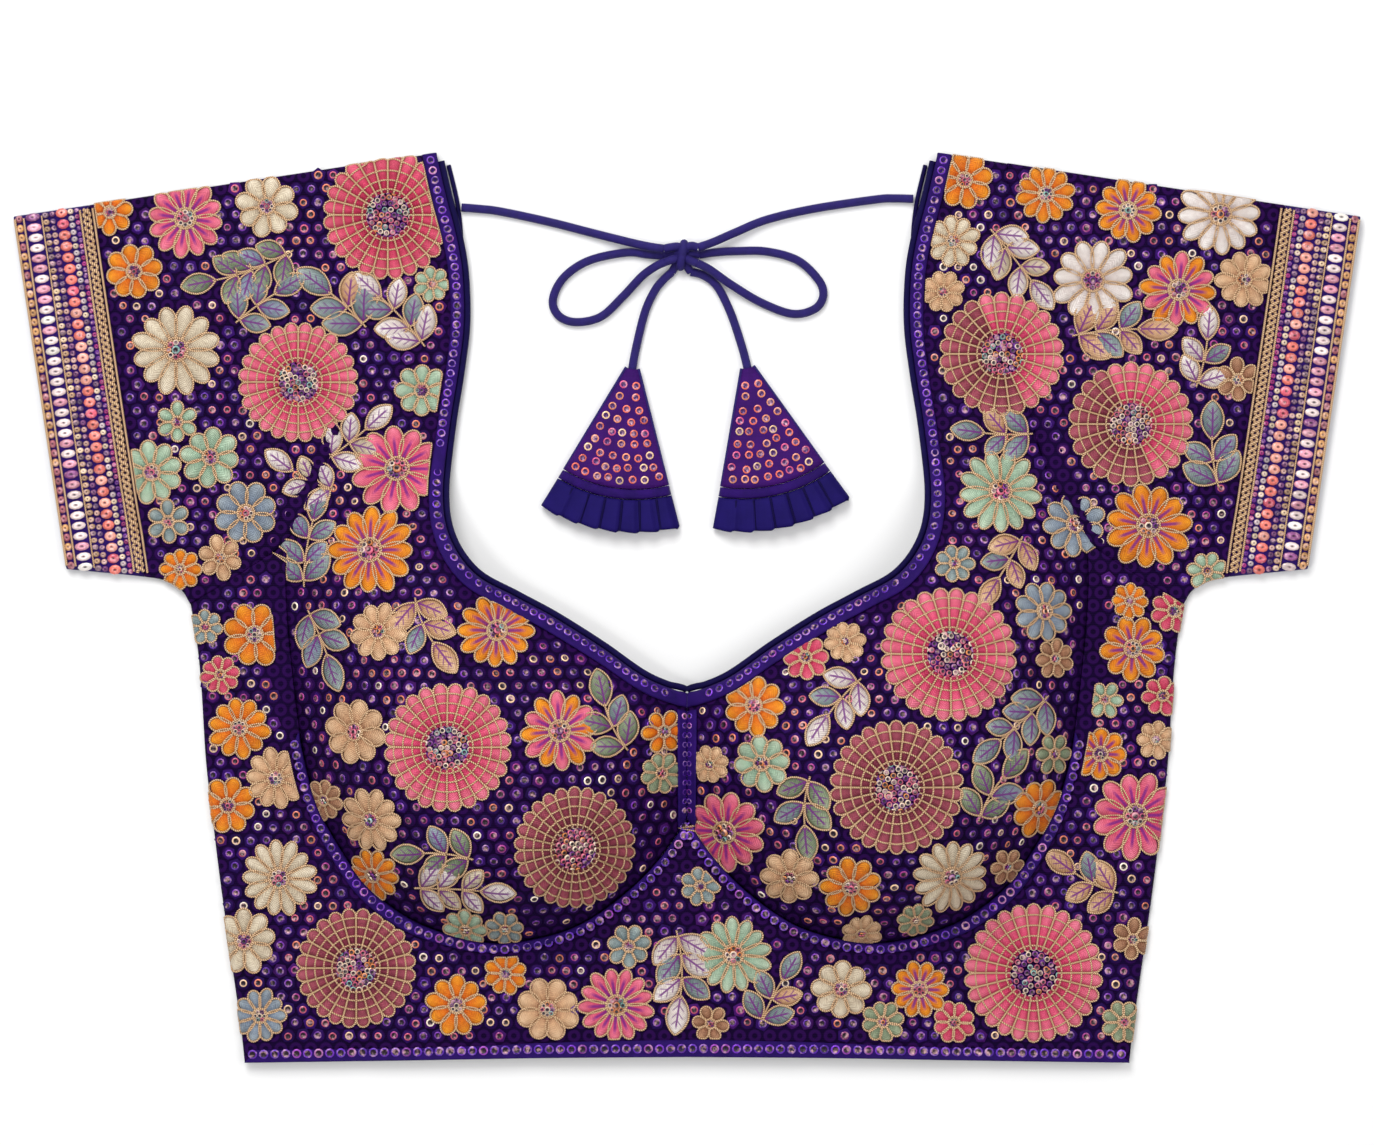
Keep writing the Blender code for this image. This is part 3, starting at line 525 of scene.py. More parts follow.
# %% [markdown]
# ## The ground cloth
# The blouse is cut from a dark violet net over lining, sewn all over with small rosettes of purple thread. Raised
# rosettes are sown later between the flowers, and the cloth shows the same rosettes flat: two lattices, one set half
# a step into the other, make staggered rows, and a ring is drawn round each point. The net itself is a fine mesh
# that is felt only as a slight roughness.

# %% Net material
ROSETTE_STEP = 6.3
net_cloth, s, shader = new_material("sequined_net", 0.85, Specular_IOR_Level=0.03)
place = place_in_mm(s)
x, y = place.part(0), place.part(1)
ROW_STEP = ROSETTE_STEP * math.sqrt(3)


def from_lattice(x, y, shift):
    """Distance to the nearest point of a lattice that is ROSETTE_STEP wide and ROW_STEP high."""
    u = (s.maths("FRACT", x * (1 / ROSETTE_STEP) + shift) - 0.5) * ROSETTE_STEP
    v = (s.maths("FRACT", y * (1 / ROW_STEP) + shift) - 0.5) * ROW_STEP
    return s.maths("SQRT", u * u + v * v)


nearest = s.maths("MINIMUM", from_lattice(x, y, 0.0), from_lattice(x, y, 0.5))
thread_ring = nearest.over(0.9, 1.3) * nearest.over(2.9, 2.4)
weave = (x + y * 0.577).wave(0.9) * (x - y * 0.577).wave(0.9) + y.wave(0.78)
clouds = noise(s, place, 18.0)
ground = clouds.over(0.3, 0.7).blend(linear(8, 1, 20), linear(18, 4, 40))
ground = (weave * 0.14).blend(ground, linear(46, 14, 88))
colour = (thread_ring * 0.4).blend(ground, linear(60, 18, 96))
finish_material(s, shader, colour, 0.55 + 0.25 * clouds, thread_ring + weave * 0.25 + clouds * 0.5, 0.25)
print("net:", len(net_cloth.node_tree.nodes), "nodes")

# %% [markdown]
# ## The front pieces
# Each panel lies between two edges that are sewn to its neighbours. Straight lines are ruled in plan from one edge
# to the other, and every point on them is lifted to the height of the cloth. Solidify then gives the wall. The same
# points, raised a little, are the bands that are sewn along the edges.

# %% Ruling a panel between two edges
NECK_BAND, CUP_TRIM, CENTRE_TRIM, HEM_BAND, BORDER_WIDTH = 6.0, 5.5, 3.2, 7.2, 32.0
PIPING_RADIUS, TRIM_LIFT, TRIM_WALL = 1.1, 0.45, 1.0
FINE = 6  # rows of the visible cloth for each row of its solid
CUP_ROWS, BODY_ROWS, SLEEVE_STEPS = 27, 21, 26
ON_SEAM, OFF_SEAM = 0.03, 0.15  # how far a panel's edge lies past an armhole seam, and short of a cup seam


def two_edges(rows, first, second):
    """Points along one edge and on along the next; each edge is its curve, lengths on it and a distance aside."""
    index = np.linspace(0, rows, rows * FINE + 1)
    split = len(first[1]) - 1
    one = np.interp(index[index < split], np.arange(split + 1), first[1])
    two = np.interp(index[index >= split], split + np.arange(len(second[1])), second[1])
    return np.vstack([along(first[0], one, first[2]), along(second[0], two, second[2])])


def ruled(start, end, near, middle, far):
    """Plan points on straight lines from start to end: distances from both ends, and even steps between."""
    length = np.linalg.norm(end - start, axis=1)
    room = np.minimum(1, length / 30)[:, None]
    first = room * near / length[:, None]
    last = 1 - room * far / length[:, None]
    shares = np.linspace(0, 1, middle + 2)[1:-1]
    between = first[:, -1:] + shares * (last[:, :1] - first[:, -1:])
    t = np.hstack([first, between, last])[..., None]
    return start[:, None] + t * (end - start)[:, None]


def lifted(plan, raise_by=0.0):
    """Plan points with the height of the cloth, measured at each point itself."""
    return np.dstack([plan, garment_height(plan[..., 0], plan[..., 1]) + raise_by])


def cloth_piece(name, grid, wall, material, side=1):
    """A cloth panel from a grid of points on its outside; side -1 is the other half of a pair."""
    points = grid * (side, 1, 1)
    faces = grid_faces(*grid.shape[:2])
    a, b, c = (points.reshape(-1, 3)[faces[:, k]] for k in range(3))
    if np.cross(b - a, c - a)[:, 2].sum() < 0:
        faces = faces[:, ::-1]
    piece = add_piece(name, points, faces, material)
    solidify = piece.modifiers.new("wall", "SOLIDIFY")
    solidify.thickness, solidify.offset = wall * MM, -1
    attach(piece, "root")
    return piece


def area_of(grid):
    """Area of a grid of points in mm, in square metres."""
    a, b = grid[1:, 1:] - grid[:-1, :-1], grid[1:, :-1] - grid[:-1, 1:]
    return float(np.linalg.norm(np.cross(a, b), axis=2).sum() / 2 * MM**2)


def length_near(curve, x, y):
    """Length along the curve at its point nearest to a place."""
    return run_of(curve)[np.argmin(np.hypot(curve[:, 0] - x, curve[:, 1] - y))]


print("each panel gets", FINE, "fine rows for one of its solid")

# %% Stations that neighbours share
neck_end, seam_end, armhole_end = (run_of(c)[-1] for c in (neck_curve, cup_seam_curve, armhole_curve))
armhole_at_cup = run_of(armhole_curve)[junction]
SHOULDER_TURN = [0.0, 0.6, 1.8, TURN_DOWN]
strap_neck = length_near(neck_curve, 102.0, 48.0)
neck_places = [
    *SHOULDER_TURN, *np.linspace(TURN_DOWN, strap_neck, 7)[1:],
    *np.linspace(strap_neck, neck_end - CENTRE_TRIM, 18)[1:], neck_end,
]
strap_places = np.linspace(TURN_DOWN, armhole_at_cup, 7)
seam_places = np.array([0.0, *np.linspace(5.6, seam_end, 18)])
under_places = np.linspace(armhole_at_cup, armhole_end - 6.0, 4)
armhole_places = np.array([0.0, *strap_places, *under_places[1:], armhole_end])
print(len(neck_places), "stations along the neck,", len(seam_places), "along a cup seam")

# %% Cups with their straps
cup_outer = two_edges(
    CUP_ROWS, (armhole_curve, [*SHOULDER_TURN, *strap_places[1:]], ON_SEAM),
    (cup_seam_curve, seam_places[::-1], -OFF_SEAM),
)
cup_index = np.interp(np.linspace(0, CUP_ROWS, CUP_ROWS * FINE + 1), np.arange(CUP_ROWS + 1), neck_places)
cup_inner = along(neck_curve, cup_index, -(2 * PIPING_RADIUS + SEAM_GAP))
cup_inner[-FINE:, 0] *= np.linspace(0.8, 0.0, FINE)
for edge in (cup_outer, cup_inner):
    edge[:, 0] = np.maximum(edge[:, 0], 0.0)
cup_grid = lifted(ruled(cup_inner, cup_outer, (0.0, 1.0, 3.0, 5.0, NECK_BAND), 30, (2.0, 0.0)))
CUP_CUT = (0.205, 0.335)
for side, name in SIDES:
    cup = cloth_piece(f"cup_{name}_cloth", cup_grid, FRONT_WALL, net_cloth, side)
    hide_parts(f"cup_{name}")
    round(area_of(cup_grid), 4)
print("cup cut:", CUP_CUT, "area", round(area_of(cup_grid), 4), "m2, points", cup_grid.shape[:2])

# %% Midriff and sides, in one piece
body_inner = two_edges(BODY_ROWS, (cup_seam_curve, seam_places, OFF_SEAM), (armhole_curve, under_places, ON_SEAM))
body_outer = two_edges(
    BODY_ROWS, (hem_curve, np.linspace(0, run_of(hem_curve)[-1], 10), 0.0),
    (side_curve[::-1], np.linspace(0, run_of(side_curve)[-1], 13), 0.0),
)
body_inner[0, 0] = 0.0
hem_places = (HEM_BAND, 5.5, TURN_DOWN, 3.0, 1.8, 0.9, 0.3, 0.0)
half_body = lifted(ruled(body_inner, body_outer, (0.0, 1.0, 2.75, 4.5, CUP_TRIM), 20, hem_places))
body_grid = np.vstack([(half_body * (-1, 1, 1))[::-1], half_body[1:]])
body_grid[..., 2] = garment_height(body_grid[..., 0], body_grid[..., 1])
BODY_CUT = (0.43, 0.235)
body = cloth_piece("front_body_cloth", body_grid, FRONT_WALL, net_cloth)
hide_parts("front_body")
round(area_of(body_grid), 4)
print("midriff cut:", BODY_CUT, "area", round(area_of(body_grid), 4), "m2, points", body_grid.shape[:2])

# %% [markdown]
# ## The sleeves
# A short sleeve is a tube of cloth pressed flat. Seen from above it is a four-sided patch between the armhole, the
# fold along its top, the line where the beaded border starts, and the seam underneath. A section across it is the
# front layer, a round edge, the back layer and the other round edge.

# %% Sleeve patch and its sections
def border_line(distance):
    """The line parallel to the cuff, a distance inside it, from the sleeve's fold to its underside."""
    top, foot = np.array(CUFF_TOP), np.array(CUFF_FOOT)
    down = (foot - top) / np.linalg.norm(foot - top)
    inward = np.array([down[1], -down[0]])
    fold = (fold_line[0] - top) / np.linalg.norm(fold_line[0] - top)
    start = top + fold * distance / np.dot(fold, inward)
    depth = (underside_curve - foot) @ inward
    end = np.array([np.interp(distance, depth[::-1], column[::-1]) for column in underside_curve.T])
    return start, end


def sleeve_patch(down):
    """Four-sided patch: the mean of what its two pairs of edges give, each edge pair joined by straight lines."""
    start, end = border_line(BORDER_WIDTH)
    index = np.linspace(0, len(armhole_places) - 1, (len(armhole_places) - 1) * 5 + 1)
    places = np.interp(index, np.arange(len(armhole_places)), armhole_places)
    armhole = along(armhole_curve, places, -ON_SEAM)
    s = (places / places[-1])[:, None]
    v = np.linspace(0, 1, down)[:, None, None]
    border = start + s * (end - start)
    fold = armhole[0] + v * (border[0] - armhole[0])
    under = along(underside_curve, np.linspace(0, length_near(underside_curve, *end), down))
    under[0], under[-1] = armhole[-1], border[-1]
    straight = (1 - v) * armhole + v * border
    sides = (1 - s) * fold + s * under[:, None]
    return straight + sides - (1 - s) * straight[:, :1] - s * straight[:, -1:]


def flat_tube(name, plan, top, wall, material, side=1, turns=7):
    """A tube pressed flat, open at both ends; plan is its middle line in rows, and top the height of each point."""
    shells = []
    run = np.hstack([np.zeros((len(plan), 1)), np.cumsum(np.linalg.norm(np.diff(plan, axis=1), axis=2), axis=1)])
    for inset in (0.0, wall):
        sections = []
        for first, second, fan in ((0, 1, 1), (-1, -2, -1)):
            outward = plan[:, first] - plan[:, second]
            outward /= np.linalg.norm(outward, axis=1)[:, None]
            radius = top[:, first] / 2
            angle = np.linspace(-1, 1, turns)[1:-1] * fan * math.pi / 2
            small = (radius - inset)[:, None]
            middle = (plan[:, first] - radius[:, None] * outward)[:, None]
            spot = middle + small[..., None] * np.cos(angle)[:, None] * outward[:, None]
            sections.append(np.dstack([spot, radius[:, None] + small * np.sin(angle)]))
        begin, end = top[:, :1] / 2, top[:, -1:] / 2
        body = np.array([
            np.column_stack([np.interp(now, was, row[:, k]) for k in (0, 1)])
            for now, was, row in zip(begin + run * (1 - (begin + end) / run[:, -1:]), run, plan)
        ])
        front = np.dstack([body, top - inset])
        back = np.dstack([body, np.full(top.shape, inset)])[:, ::-1]
        shells.append(np.concatenate([front, sections[1], back, sections[0]], axis=1))
    rows, columns, _ = shells[0].shape
    skin = grid_faces(rows, columns, wrap=True)
    size, j = rows * columns, np.arange(columns)
    after = (j + 1) % columns
    near_rim = np.stack([j, j + size, after + size, after], 1)
    far_rim = np.stack([j, after, after + size, j + size], 1) + size - columns
    faces = np.vstack([skin, skin[:, ::-1] + size, near_rim, far_rim])
    points = np.vstack([shell.reshape(-1, 3) for shell in shells]) * (side, 1, 1)
    a, b, c, d = (points[faces[:, k]] for k in range(4))
    if (a * (np.cross(b, c) + np.cross(c, d))).sum() < 0:
        faces = faces[:, ::-1]
    piece = add_piece(name, points, faces, material)
    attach(piece, "root")
    return piece


def top_of_sleeve(plan):
    """Height over the middle of a pressed sleeve, before its edges turn."""
    x, y = plan[..., 0], plan[..., 1]
    top, room = sleeve_air(x, y)
    fold = crease_depth([row for row in CREASES if row[0] > 150], x, y)
    return top + fold * np.clip(room / 12, 0, 1)


plan = sleeve_patch(SLEEVE_STEPS)
for side, name in SIDES:
    sleeve = flat_tube(f"sleeve_{name}_cloth", plan, top_of_sleeve(plan), BACK_WALL, net_cloth, side)
    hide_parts(f"sleeve_{name}")
    area = 2 * area_of(np.dstack([plan, plan[..., 0] * 0]))

# %% [markdown]
# ## Bands and piping
# Narrow beaded bands run along the neck, the cup seams, the centre and the hem. They reuse the edge points of their
# panels, with a rounded section. The neck ends in piping: a cord covered in navy cloth, half sunk in the edge.

# %% Band and piping cloth
band_cloth, s, shader = new_material("beaded_band", 0.55, Specular_IOR_Level=0.1)
place = place_in_mm(s)
ribs = (place.part(0) + place.part(1)).wave(0.7) * (place.part(0) - place.part(1)).wave(0.7)
clouds = noise(s, place, 5.0)
colour = (ribs * 0.5 + clouds * 0.6).over(0.15, 0.85).blend(linear(22, 6, 70), linear(58, 20, 124))
finish_material(s, shader, colour, 0.4 + 0.3 * clouds, ribs + clouds, 0.2)
piping_cloth, s, shader = new_material("navy_piping", 0.65, Specular_IOR_Level=0.1)
place = place_in_mm(s)
slant = (place.part(0) * 1.3 + place.part(1)).wave(0.6)
colour = (slant * 0.5 + noise(s, place, 4.0) * 0.5).over(0.2, 0.8).blend(linear(9, 5, 44), linear(24, 13, 80))
finish_material(s, shader, colour, None, slant, 0.12)
print("bands:", band_cloth.name, piping_cloth.name)

# %% Bands
def band_piece(name, grid, side=1):
    """A band sewn on a panel: some of its points, raised in a rounded section."""
    columns = np.linspace(-1, 1, grid.shape[1])
    normal = np.cross(np.gradient(grid, axis=0), np.gradient(grid, axis=1))
    upright = np.maximum(np.abs(normal[..., 2]) / np.linalg.norm(normal, axis=2), 0.5)
    raised = grid.copy()
    raised[..., 2] += (TRIM_LIFT + TRIM_WALL * (0.55 + 0.45 * np.sqrt(1 - 0.98 * columns**2))) / upright
    return cloth_piece(name, raised, 0.8, band_cloth, side)


HEM_STATIONS, TRIM_TOP = 9, -52.0  # the cup trim starts where the cup seam leaves the centre
hem_rows = HEM_STATIONS * FINE + 1
hem_grid = body_grid[len(half_body) - hem_rows : len(half_body) - 1 + hem_rows, -len(hem_places) :]
hem_band = band_piece("hem_band_cloth", hem_grid)
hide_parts("hem_band")
trim_rows = int(np.argmax(half_body[:, 0, 1] > TRIM_TOP))
for side, name in SIDES:
    for node, grid in (
        ("neck_band", cup_grid[:, :5]), ("centre_trim", cup_grid[-FINE - 1 :, 5:]),
        ("cup_trim", half_body[4:trim_rows, :5]),
    ):
        made = band_piece(f"{node}_{name}_cloth", grid, side)
        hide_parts(f"{node}_{name}")
print("bands made; hem", hem_grid.shape[:2])

# %% Piping along the front neck
for side, name in SIDES:
    line = along(neck_curve, np.linspace(TURN_DOWN, neck_end, 160), -PIPING_RADIUS - 0.2)
    line[-4:, 0] *= (0.75, 0.5, 0.25, 0.0)
    line[:, 0] = np.maximum(line[:, 0], 0.05)
    route = np.column_stack([line, garment_height(*line.T) - 0.9]) * (side, 1, 1)
    made, _ = cord_piece(f"neck_piping_{name}_cord", route, PIPING_RADIUS + 0.3, piping_cloth, sides=10)
    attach(made, "root")
    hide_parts(f"neck_piping_{name}")
print("piping made")

# %% [markdown]
# ## Where embroidery may go
# Flowers are worked inside the bands. A closed line in plan bounds each field: the cups with the sleeves, and the
# midriff with the sides. A stitched point that would lie outside is brought to the nearest place on that line, so a
# flower at an edge is cut off there, as on the real cloth.

# %% Fields
def at_least(curve, x):
    """The curve kept at this distance from the centre."""
    return np.column_stack([np.maximum(curve[:, 0], x), curve[:, 1]])


border_start, border_end = border_line(BORDER_WIDTH + 2.6)
under = underside_curve[underside_curve[:, 0] < border_end[0]][::-1]
upper_field = np.vstack([
    at_least(moved(neck_curve, -(2 * PIPING_RADIUS + SEAM_GAP + NECK_BAND + 0.5)), CENTRE_TRIM + 0.7)[::-1],
    ARMHOLE[0], border_start, border_end, under, armhole_curve[junction:][::-1],
    at_least(moved(cup_seam_curve, -0.8), CENTRE_TRIM + 0.7)[::-1],
])
lower_field = np.vstack([
    at_least(moved(cup_seam_curve, CUP_TRIM + 0.7), 0.0), moved(armhole_curve, 0.8)[junction:], side_curve[:-4],
    (186.2, HEM[-1][1] + HEM_BAND + 0.6), (0.0, HEM[0][1] + HEM_BAND + 0.6),
])


def inside(field, x, y):
    """Whether each place is in the field, counted by how many of its sides lie to the right."""
    odd = np.zeros(np.shape(x), bool)
    for (ax, ay), (bx, by) in zip(field, np.roll(field, -1, axis=0)):
        if ay != by:
            odd ^= ((ay > y) != (by > y)) & (x < ax + (y - ay) * (bx - ax) / (by - ay))
    return odd


def kept_in(field, x, y):
    """The places, with those outside the field brought to its border."""
    mirror, x = np.where(x < 0, -1.0, 1.0), np.abs(x)
    outside = ~inside(field, x, y)
    px, py = x[outside], y[outside]
    best, nx, ny = np.full(px.shape, np.inf), px.copy(), py.copy()
    for (ax, ay), (bx, by) in zip(field, np.roll(field, -1, axis=0)):
        length = max((bx - ax) ** 2 + (by - ay) ** 2, 1e-9)
        t = np.clip(((px - ax) * (bx - ax) + (py - ay) * (by - ay)) / length, 0, 1)
        qx, qy = ax + t * (bx - ax), ay + t * (by - ay)
        away = np.hypot(px - qx, py - qy)
        nx, ny, best = np.where(away < best, qx, nx), np.where(away < best, qy, ny), np.minimum(away, best)
    x, y = x.copy(), y.copy()
    x[outside], y[outside] = nx, ny
    return x * mirror, y


def inside_own(upper, x, y):
    """Whether each place is in its own field: the upper one where upper is true, or else the lower."""
    return np.where(upper, inside(upper_field, np.abs(x), y), inside(lower_field, np.abs(x), y))


FIELDS = {"u": upper_field, "l": lower_field}
print("fields have", len(upper_field), "and", len(lower_field), "corners")

# %% [markdown]
# ## The flowers
# Three kinds of motif cover the blouse: large round medallions with many narrow petals crossed by rings of gold
# cord, smaller flowers with six to thirteen petals, and sprays of leaves. All are made of one thing, a padded satin
# petal, so a motif is just a list of petals: where it starts, which way it points, how long and how wide it is.
# The arrangement is made here and copies no pattern: every motif settles where there is still room on the cloth,
# large ones first. It has a random stream of its own, so another number gives another blouse.

# %% Thread colours
THREAD = {
    "pink": (linear(232, 56, 104), linear(250, 122, 146)), "rose": (linear(200, 40, 82), linear(236, 96, 122)),
    "maroon": (linear(122, 40, 62), linear(172, 84, 100)), "orange": (linear(238, 98, 12), linear(252, 150, 32)),
    "mint": (linear(140, 180, 150), linear(182, 208, 178)), "grey": (linear(110, 134, 140), linear(156, 172, 168)),
    "blue": (linear(112, 130, 152), linear(152, 168, 178)), "peach": (linear(208, 154, 112), linear(236, 192, 150)),
    "cream": (linear(210, 194, 162), linear(238, 222, 192)), "white": (linear(232, 218, 210), linear(255, 246, 238)),
    "brown": (linear(146, 98, 72), linear(186, 140, 108)), "sage": (linear(110, 132, 104), linear(156, 170, 138)),
}
PURPLE = linear(112, 26, 124)
print(len(THREAD), "thread colours, each with a lighter tip")

# %% Which part of the blouse a place belongs to
PARTS = ("cup_left", "cup_right", "body", "sleeve_left", "sleeve_right")


def part_of(x, y, upper):
    """Index in PARTS for each place: the midriff, or the cup or sleeve of that side."""
    on_sleeve = np.abs(x) > np.interp(y, armhole_curve[::-1, 1], armhole_curve[::-1, 0])
    return np.where(upper > 0, 3 * on_sleeve + (x > 0), 2)


print("parts that carry embroidery:", PARTS)

# %% Room on the cloth
layout = np.random.default_rng(47)
SPOTS, FAR = 12000, 99.0
spots = layout.uniform((-250, -190), (250, 190), (SPOTS, 2))
spot_upper = inside(upper_field, np.abs(spots[:, 0]), spots[:, 1])
on_cloth = spot_upper | inside(lower_field, np.abs(spots[:, 0]), spots[:, 1])
spots, spot_upper = spots[on_cloth], spot_upper[on_cloth]
spot_part = part_of(*spots.T, spot_upper)


def from_edge(field, x, y):
    """Distance from each place to the closed line round a field, leaving out any points that it repeats."""
    line = np.vstack([field, field[:1]])
    line = line[np.r_[True, np.hypot(*np.diff(line, axis=0).T) > 1e-6]]
    return distance_to(line, np.abs(x), y)


spot_edge = np.where(spot_upper, from_edge(upper_field, *spots.T), from_edge(lower_field, *spots.T))
spot_room = np.full(len(spots), FAR)
taken = []


def take_room(centre, size):
    """Note a round motif, and shorten every spot's distance to the nearest one."""
    taken.append((*centre, size))
    np.minimum(spot_room, np.hypot(*(spots - centre).T) - size, out=spot_room)


def settled(size, here, edge_share):
    """Index of a spot with room for a motif of that size, at least that share of it from any edge."""
    good = here & (spot_room > size) & (spot_edge > edge_share * size)
    if not good.any():
        best = np.where(here & (spot_edge > edge_share * size), spot_room, -FAR)
        good = here & (best == best.max())
    spot = layout.choice(np.flatnonzero(good))
    take_room(spots[spot], size)
    return spot


print(len(spots), "spots to settle on, the deepest", spot_edge.max().round(1), "mm from an edge")

# %% The arrangement: medallions
MEDALLION_KINDS = [  # part, reach, petals, colour
    ("cup_left", 28, 26, "maroon"), ("cup_right", 28, 24, "pink"), ("cup_left", 26, 24, "pink"),
    ("cup_right", 27, 26, "maroon"), ("cup_left", 27, 24, "rose"), ("cup_right", 26, 22, "halved"),
    ("sleeve_left", 25, 24, "pink"), ("sleeve_right", 26, 22, "halved"), ("body", 29, 26, "pink"),
    ("body", 25, 24, "maroon"),
]
MEDALLIONS = []  # across, up, reach across, reach up, petals, colour, field
for part, size, count, colour in MEDALLION_KINDS:
    spot = settled(size, spot_part == PARTS.index(part), 0.7)
    lean = [looked_up(slope, *spots[spot : spot + 1].T)[0] for slope in (slope_x, slope_y)]
    across, up = (size / math.hypot(1, rise) for rise in lean)  # foreshortened on the slope of a cup
    MEDALLIONS.append((*spots[spot], across, up, count, colour, "u" if spot_upper[spot] else "l"))
print(len(MEDALLIONS), "medallions")

# %% The arrangement: flowers and sprays
FLOWER_KINDS = [  # how many, least and most reach, least and most petals, colours
    (17, 15.0, 18.5, 11, 13, ("pink", "streaked", "cream", "mint", "sunset", "white", "pink")),
    (34, 11.0, 13.5, 8, 10, ("orange", "peach", "mint", "orange", "blue", "streaked", "cream", "orange", "peach")),
    (38, 7.5, 9.5, 6, 8, ("brown", "grey", "peach", "mint", "rose", "orange", "sage")),
]
LEAF_COLOURS = (
    ("grey", "blue"), ("white", "cream"), ("sage", "grey"), ("white", "grey"), ("peach", "grey"), ("sage", "blue"),
    ("grey", "peach"),
)
LEAF_COUNTS, SPRAY_TRIES, TRIES, SPRAY_ROOM, SEAM_ROOM = (5, 7, 5, 7, 5, 9), 37, 240, 3.5, 6
SPRAY_CHECKS = np.array([0.1, 0.5, 0.9, 1.2])  # shares of the stem where the room round a spray is measured
FLOWERS, SPRAYS = [], []


def add_flowers(number, least, most, fewest, fullest, colours):
    """Flowers of one kind, each where there is still room."""
    for k in range(number):
        size, count = layout.uniform(least, most), layout.integers(fewest, fullest + 1)
        spot = settled(0.95 * size, spot_part >= 0, 0.45)
        FLOWERS.append((*spots[spot], size, count, colours[k % len(colours)], "u" if spot_upper[spot] else "l"))


def add_spray(leaves, colours):
    """One spray in the best of many places and headings, or none where they are all too crowded."""
    leaf, bend, length = layout.uniform(10.5, 13.5), layout.uniform(-16, 16), 4 * leaves + 2
    start, heading = spots[layout.integers(len(spots), size=TRIES)], layout.uniform(0, 360, TRIES)
    turn = np.radians(heading[:, None] + bend * SPRAY_CHECKS)
    trail = start[:, None] + length * SPRAY_CHECKS[:, None] * np.dstack([np.cos(turn), np.sin(turn)])
    circles = np.array(taken)
    away = np.hypot(*(trail[..., None, :] - circles[:, :2]).transpose(3, 0, 1, 2)) - circles[:, 2]
    clear = away.min(axis=(1, 2))
    nudges = [(a, b) for a in (-SEAM_ROOM, SEAM_ROOM) for b in (-SEAM_ROOM, SEAM_ROOM)]
    in_one = np.zeros(TRIES, bool)
    for line in (upper_field, lower_field):
        reached = [inside(line, np.abs(trail[..., 0] + a), trail[..., 1] + b) for a, b in nudges]
        in_one |= np.all(reached, axis=(0, 2))
    best = np.argmax(np.where(in_one, clear, -FAR))
    if in_one[best] and clear[best] >= SPRAY_ROOM:
        for place in trail[best]:
            take_room(place, 0.56 * leaf)
        field = "u" if inside(upper_field, np.abs(start[best, :1]), start[best, 1:])[0] else "l"
        SPRAYS.append((*start[best], heading[best], length, leaves, leaf, *colours, bend, field))


add_flowers(*FLOWER_KINDS[0])
add_flowers(*FLOWER_KINDS[1])
for k in range(SPRAY_TRIES):
    add_spray(LEAF_COUNTS[k % len(LEAF_COUNTS)], LEAF_COLOURS[k % len(LEAF_COLOURS)])
add_flowers(*FLOWER_KINDS[2])
print(len(FLOWERS), "flowers and", len(SPRAYS), "sprays")

# %% From motifs to petals
ROUND, LEAF, WEDGE = 0, 1, 2
PLAIN, VEINED, STREAKED = 0, 1, 2
PADDING = (1.4, 1.5, 1.5)  # height of a round petal, a leaf and a wedge
MEDALLION_ROOT, FLOWER_ROOT = 0.34, 0.2  # where petals start, as a share of the motif's reach
PETAL_FILL, PETAL_MOST = 0.76, 0.3  # half width of a round petal: share of its room, and of its reach at most
LEAF_LONG, LEAF_WIDE, TIP_LONG, TIP_WIDE = 1.28, 0.3, 1.3, 0.38
petals = []  # across, up, heading, start, end, half width, shape, height, flag, stretch across and up, field, tints


def petal(x, y, heading, start, end, half, shape, flag, field, pair, stretch=(1, 1)):
    """One petal on the list, a little lighter or darker than its colour."""
    tints = random.uniform(0.82, 1.12) * np.hstack(pair)
    petals.append((x, y, heading, start, end, half, shape, PADDING[shape], flag, *stretch, field == "u", *tints))


for x, y, across, up, count, colour, field in MEDALLIONS:
    for k in range(count):
        turn = 2 * math.pi * (k + 0.5) / count
        half_maroon = colour == "halved" and math.cos(turn - 3.5) > 0
        pair = THREAD["maroon" if half_maroon else "pink" if colour == "halved" else colour]
        half = across * math.tan(math.pi / count)
        petal(x, y, turn, MEDALLION_ROOT * across, across, half, WEDGE, PLAIN, field, pair, (1, up / across))
for x, y, size, count, colour, field in FLOWERS:
    first = random.uniform(0, 6)
    for k in range(count):
        turn = first + 2 * math.pi * k / count
        name = {"streaked": "orange", "sunset": ("pink", "orange")[k % 2]}.get(colour, colour)
        flag = STREAKED if colour in ("streaked", "sunset", "pink") else PLAIN
        half = min(size * math.sin(math.pi / count) * PETAL_FILL, size * PETAL_MOST)
        end = size * random.uniform(0.94, 1.05)
        petal(x, y, turn, FLOWER_ROOT * size, end, half, ROUND, flag, field, THREAD[name])
stems = []
STEM_STEPS = 12
for x, y, heading, length, leaves, leaf, colour, second, bend, field in SPRAYS:
    pairs = (leaves - 1) // 2
    turn = np.radians(heading + bend * 2 * np.linspace(0, 1, STEM_STEPS + 1))
    step = length / STEM_STEPS
    line = np.array([x, y]) + np.cumsum(step * np.column_stack([np.cos(turn), np.sin(turn)]), axis=0)
    stems.append((line, field))
    for k in range(pairs):
        i = int(round(1 + 10 * k / max(pairs, 1)))
        for way in (-1, 1):
            size = LEAF_LONG * leaf * random.uniform(0.9, 1.08) * (1 - 0.16 * k / max(pairs, 1))
            angle = turn[i] + way * random.uniform(0.75, 0.95)
            name = second if (k + way) % 3 == 0 else colour
            petal(*line[i], angle, 0.5, size, size * LEAF_WIDE, LEAF, VEINED, field, THREAD[name])
    petal(*line[-2], turn[-1], 0.0, leaf * TIP_LONG, leaf * TIP_WIDE, LEAF, VEINED, field, THREAD[colour])
petals = np.array(petals)
print(len(petals), "petals and leaves,", len(stems), "stems")

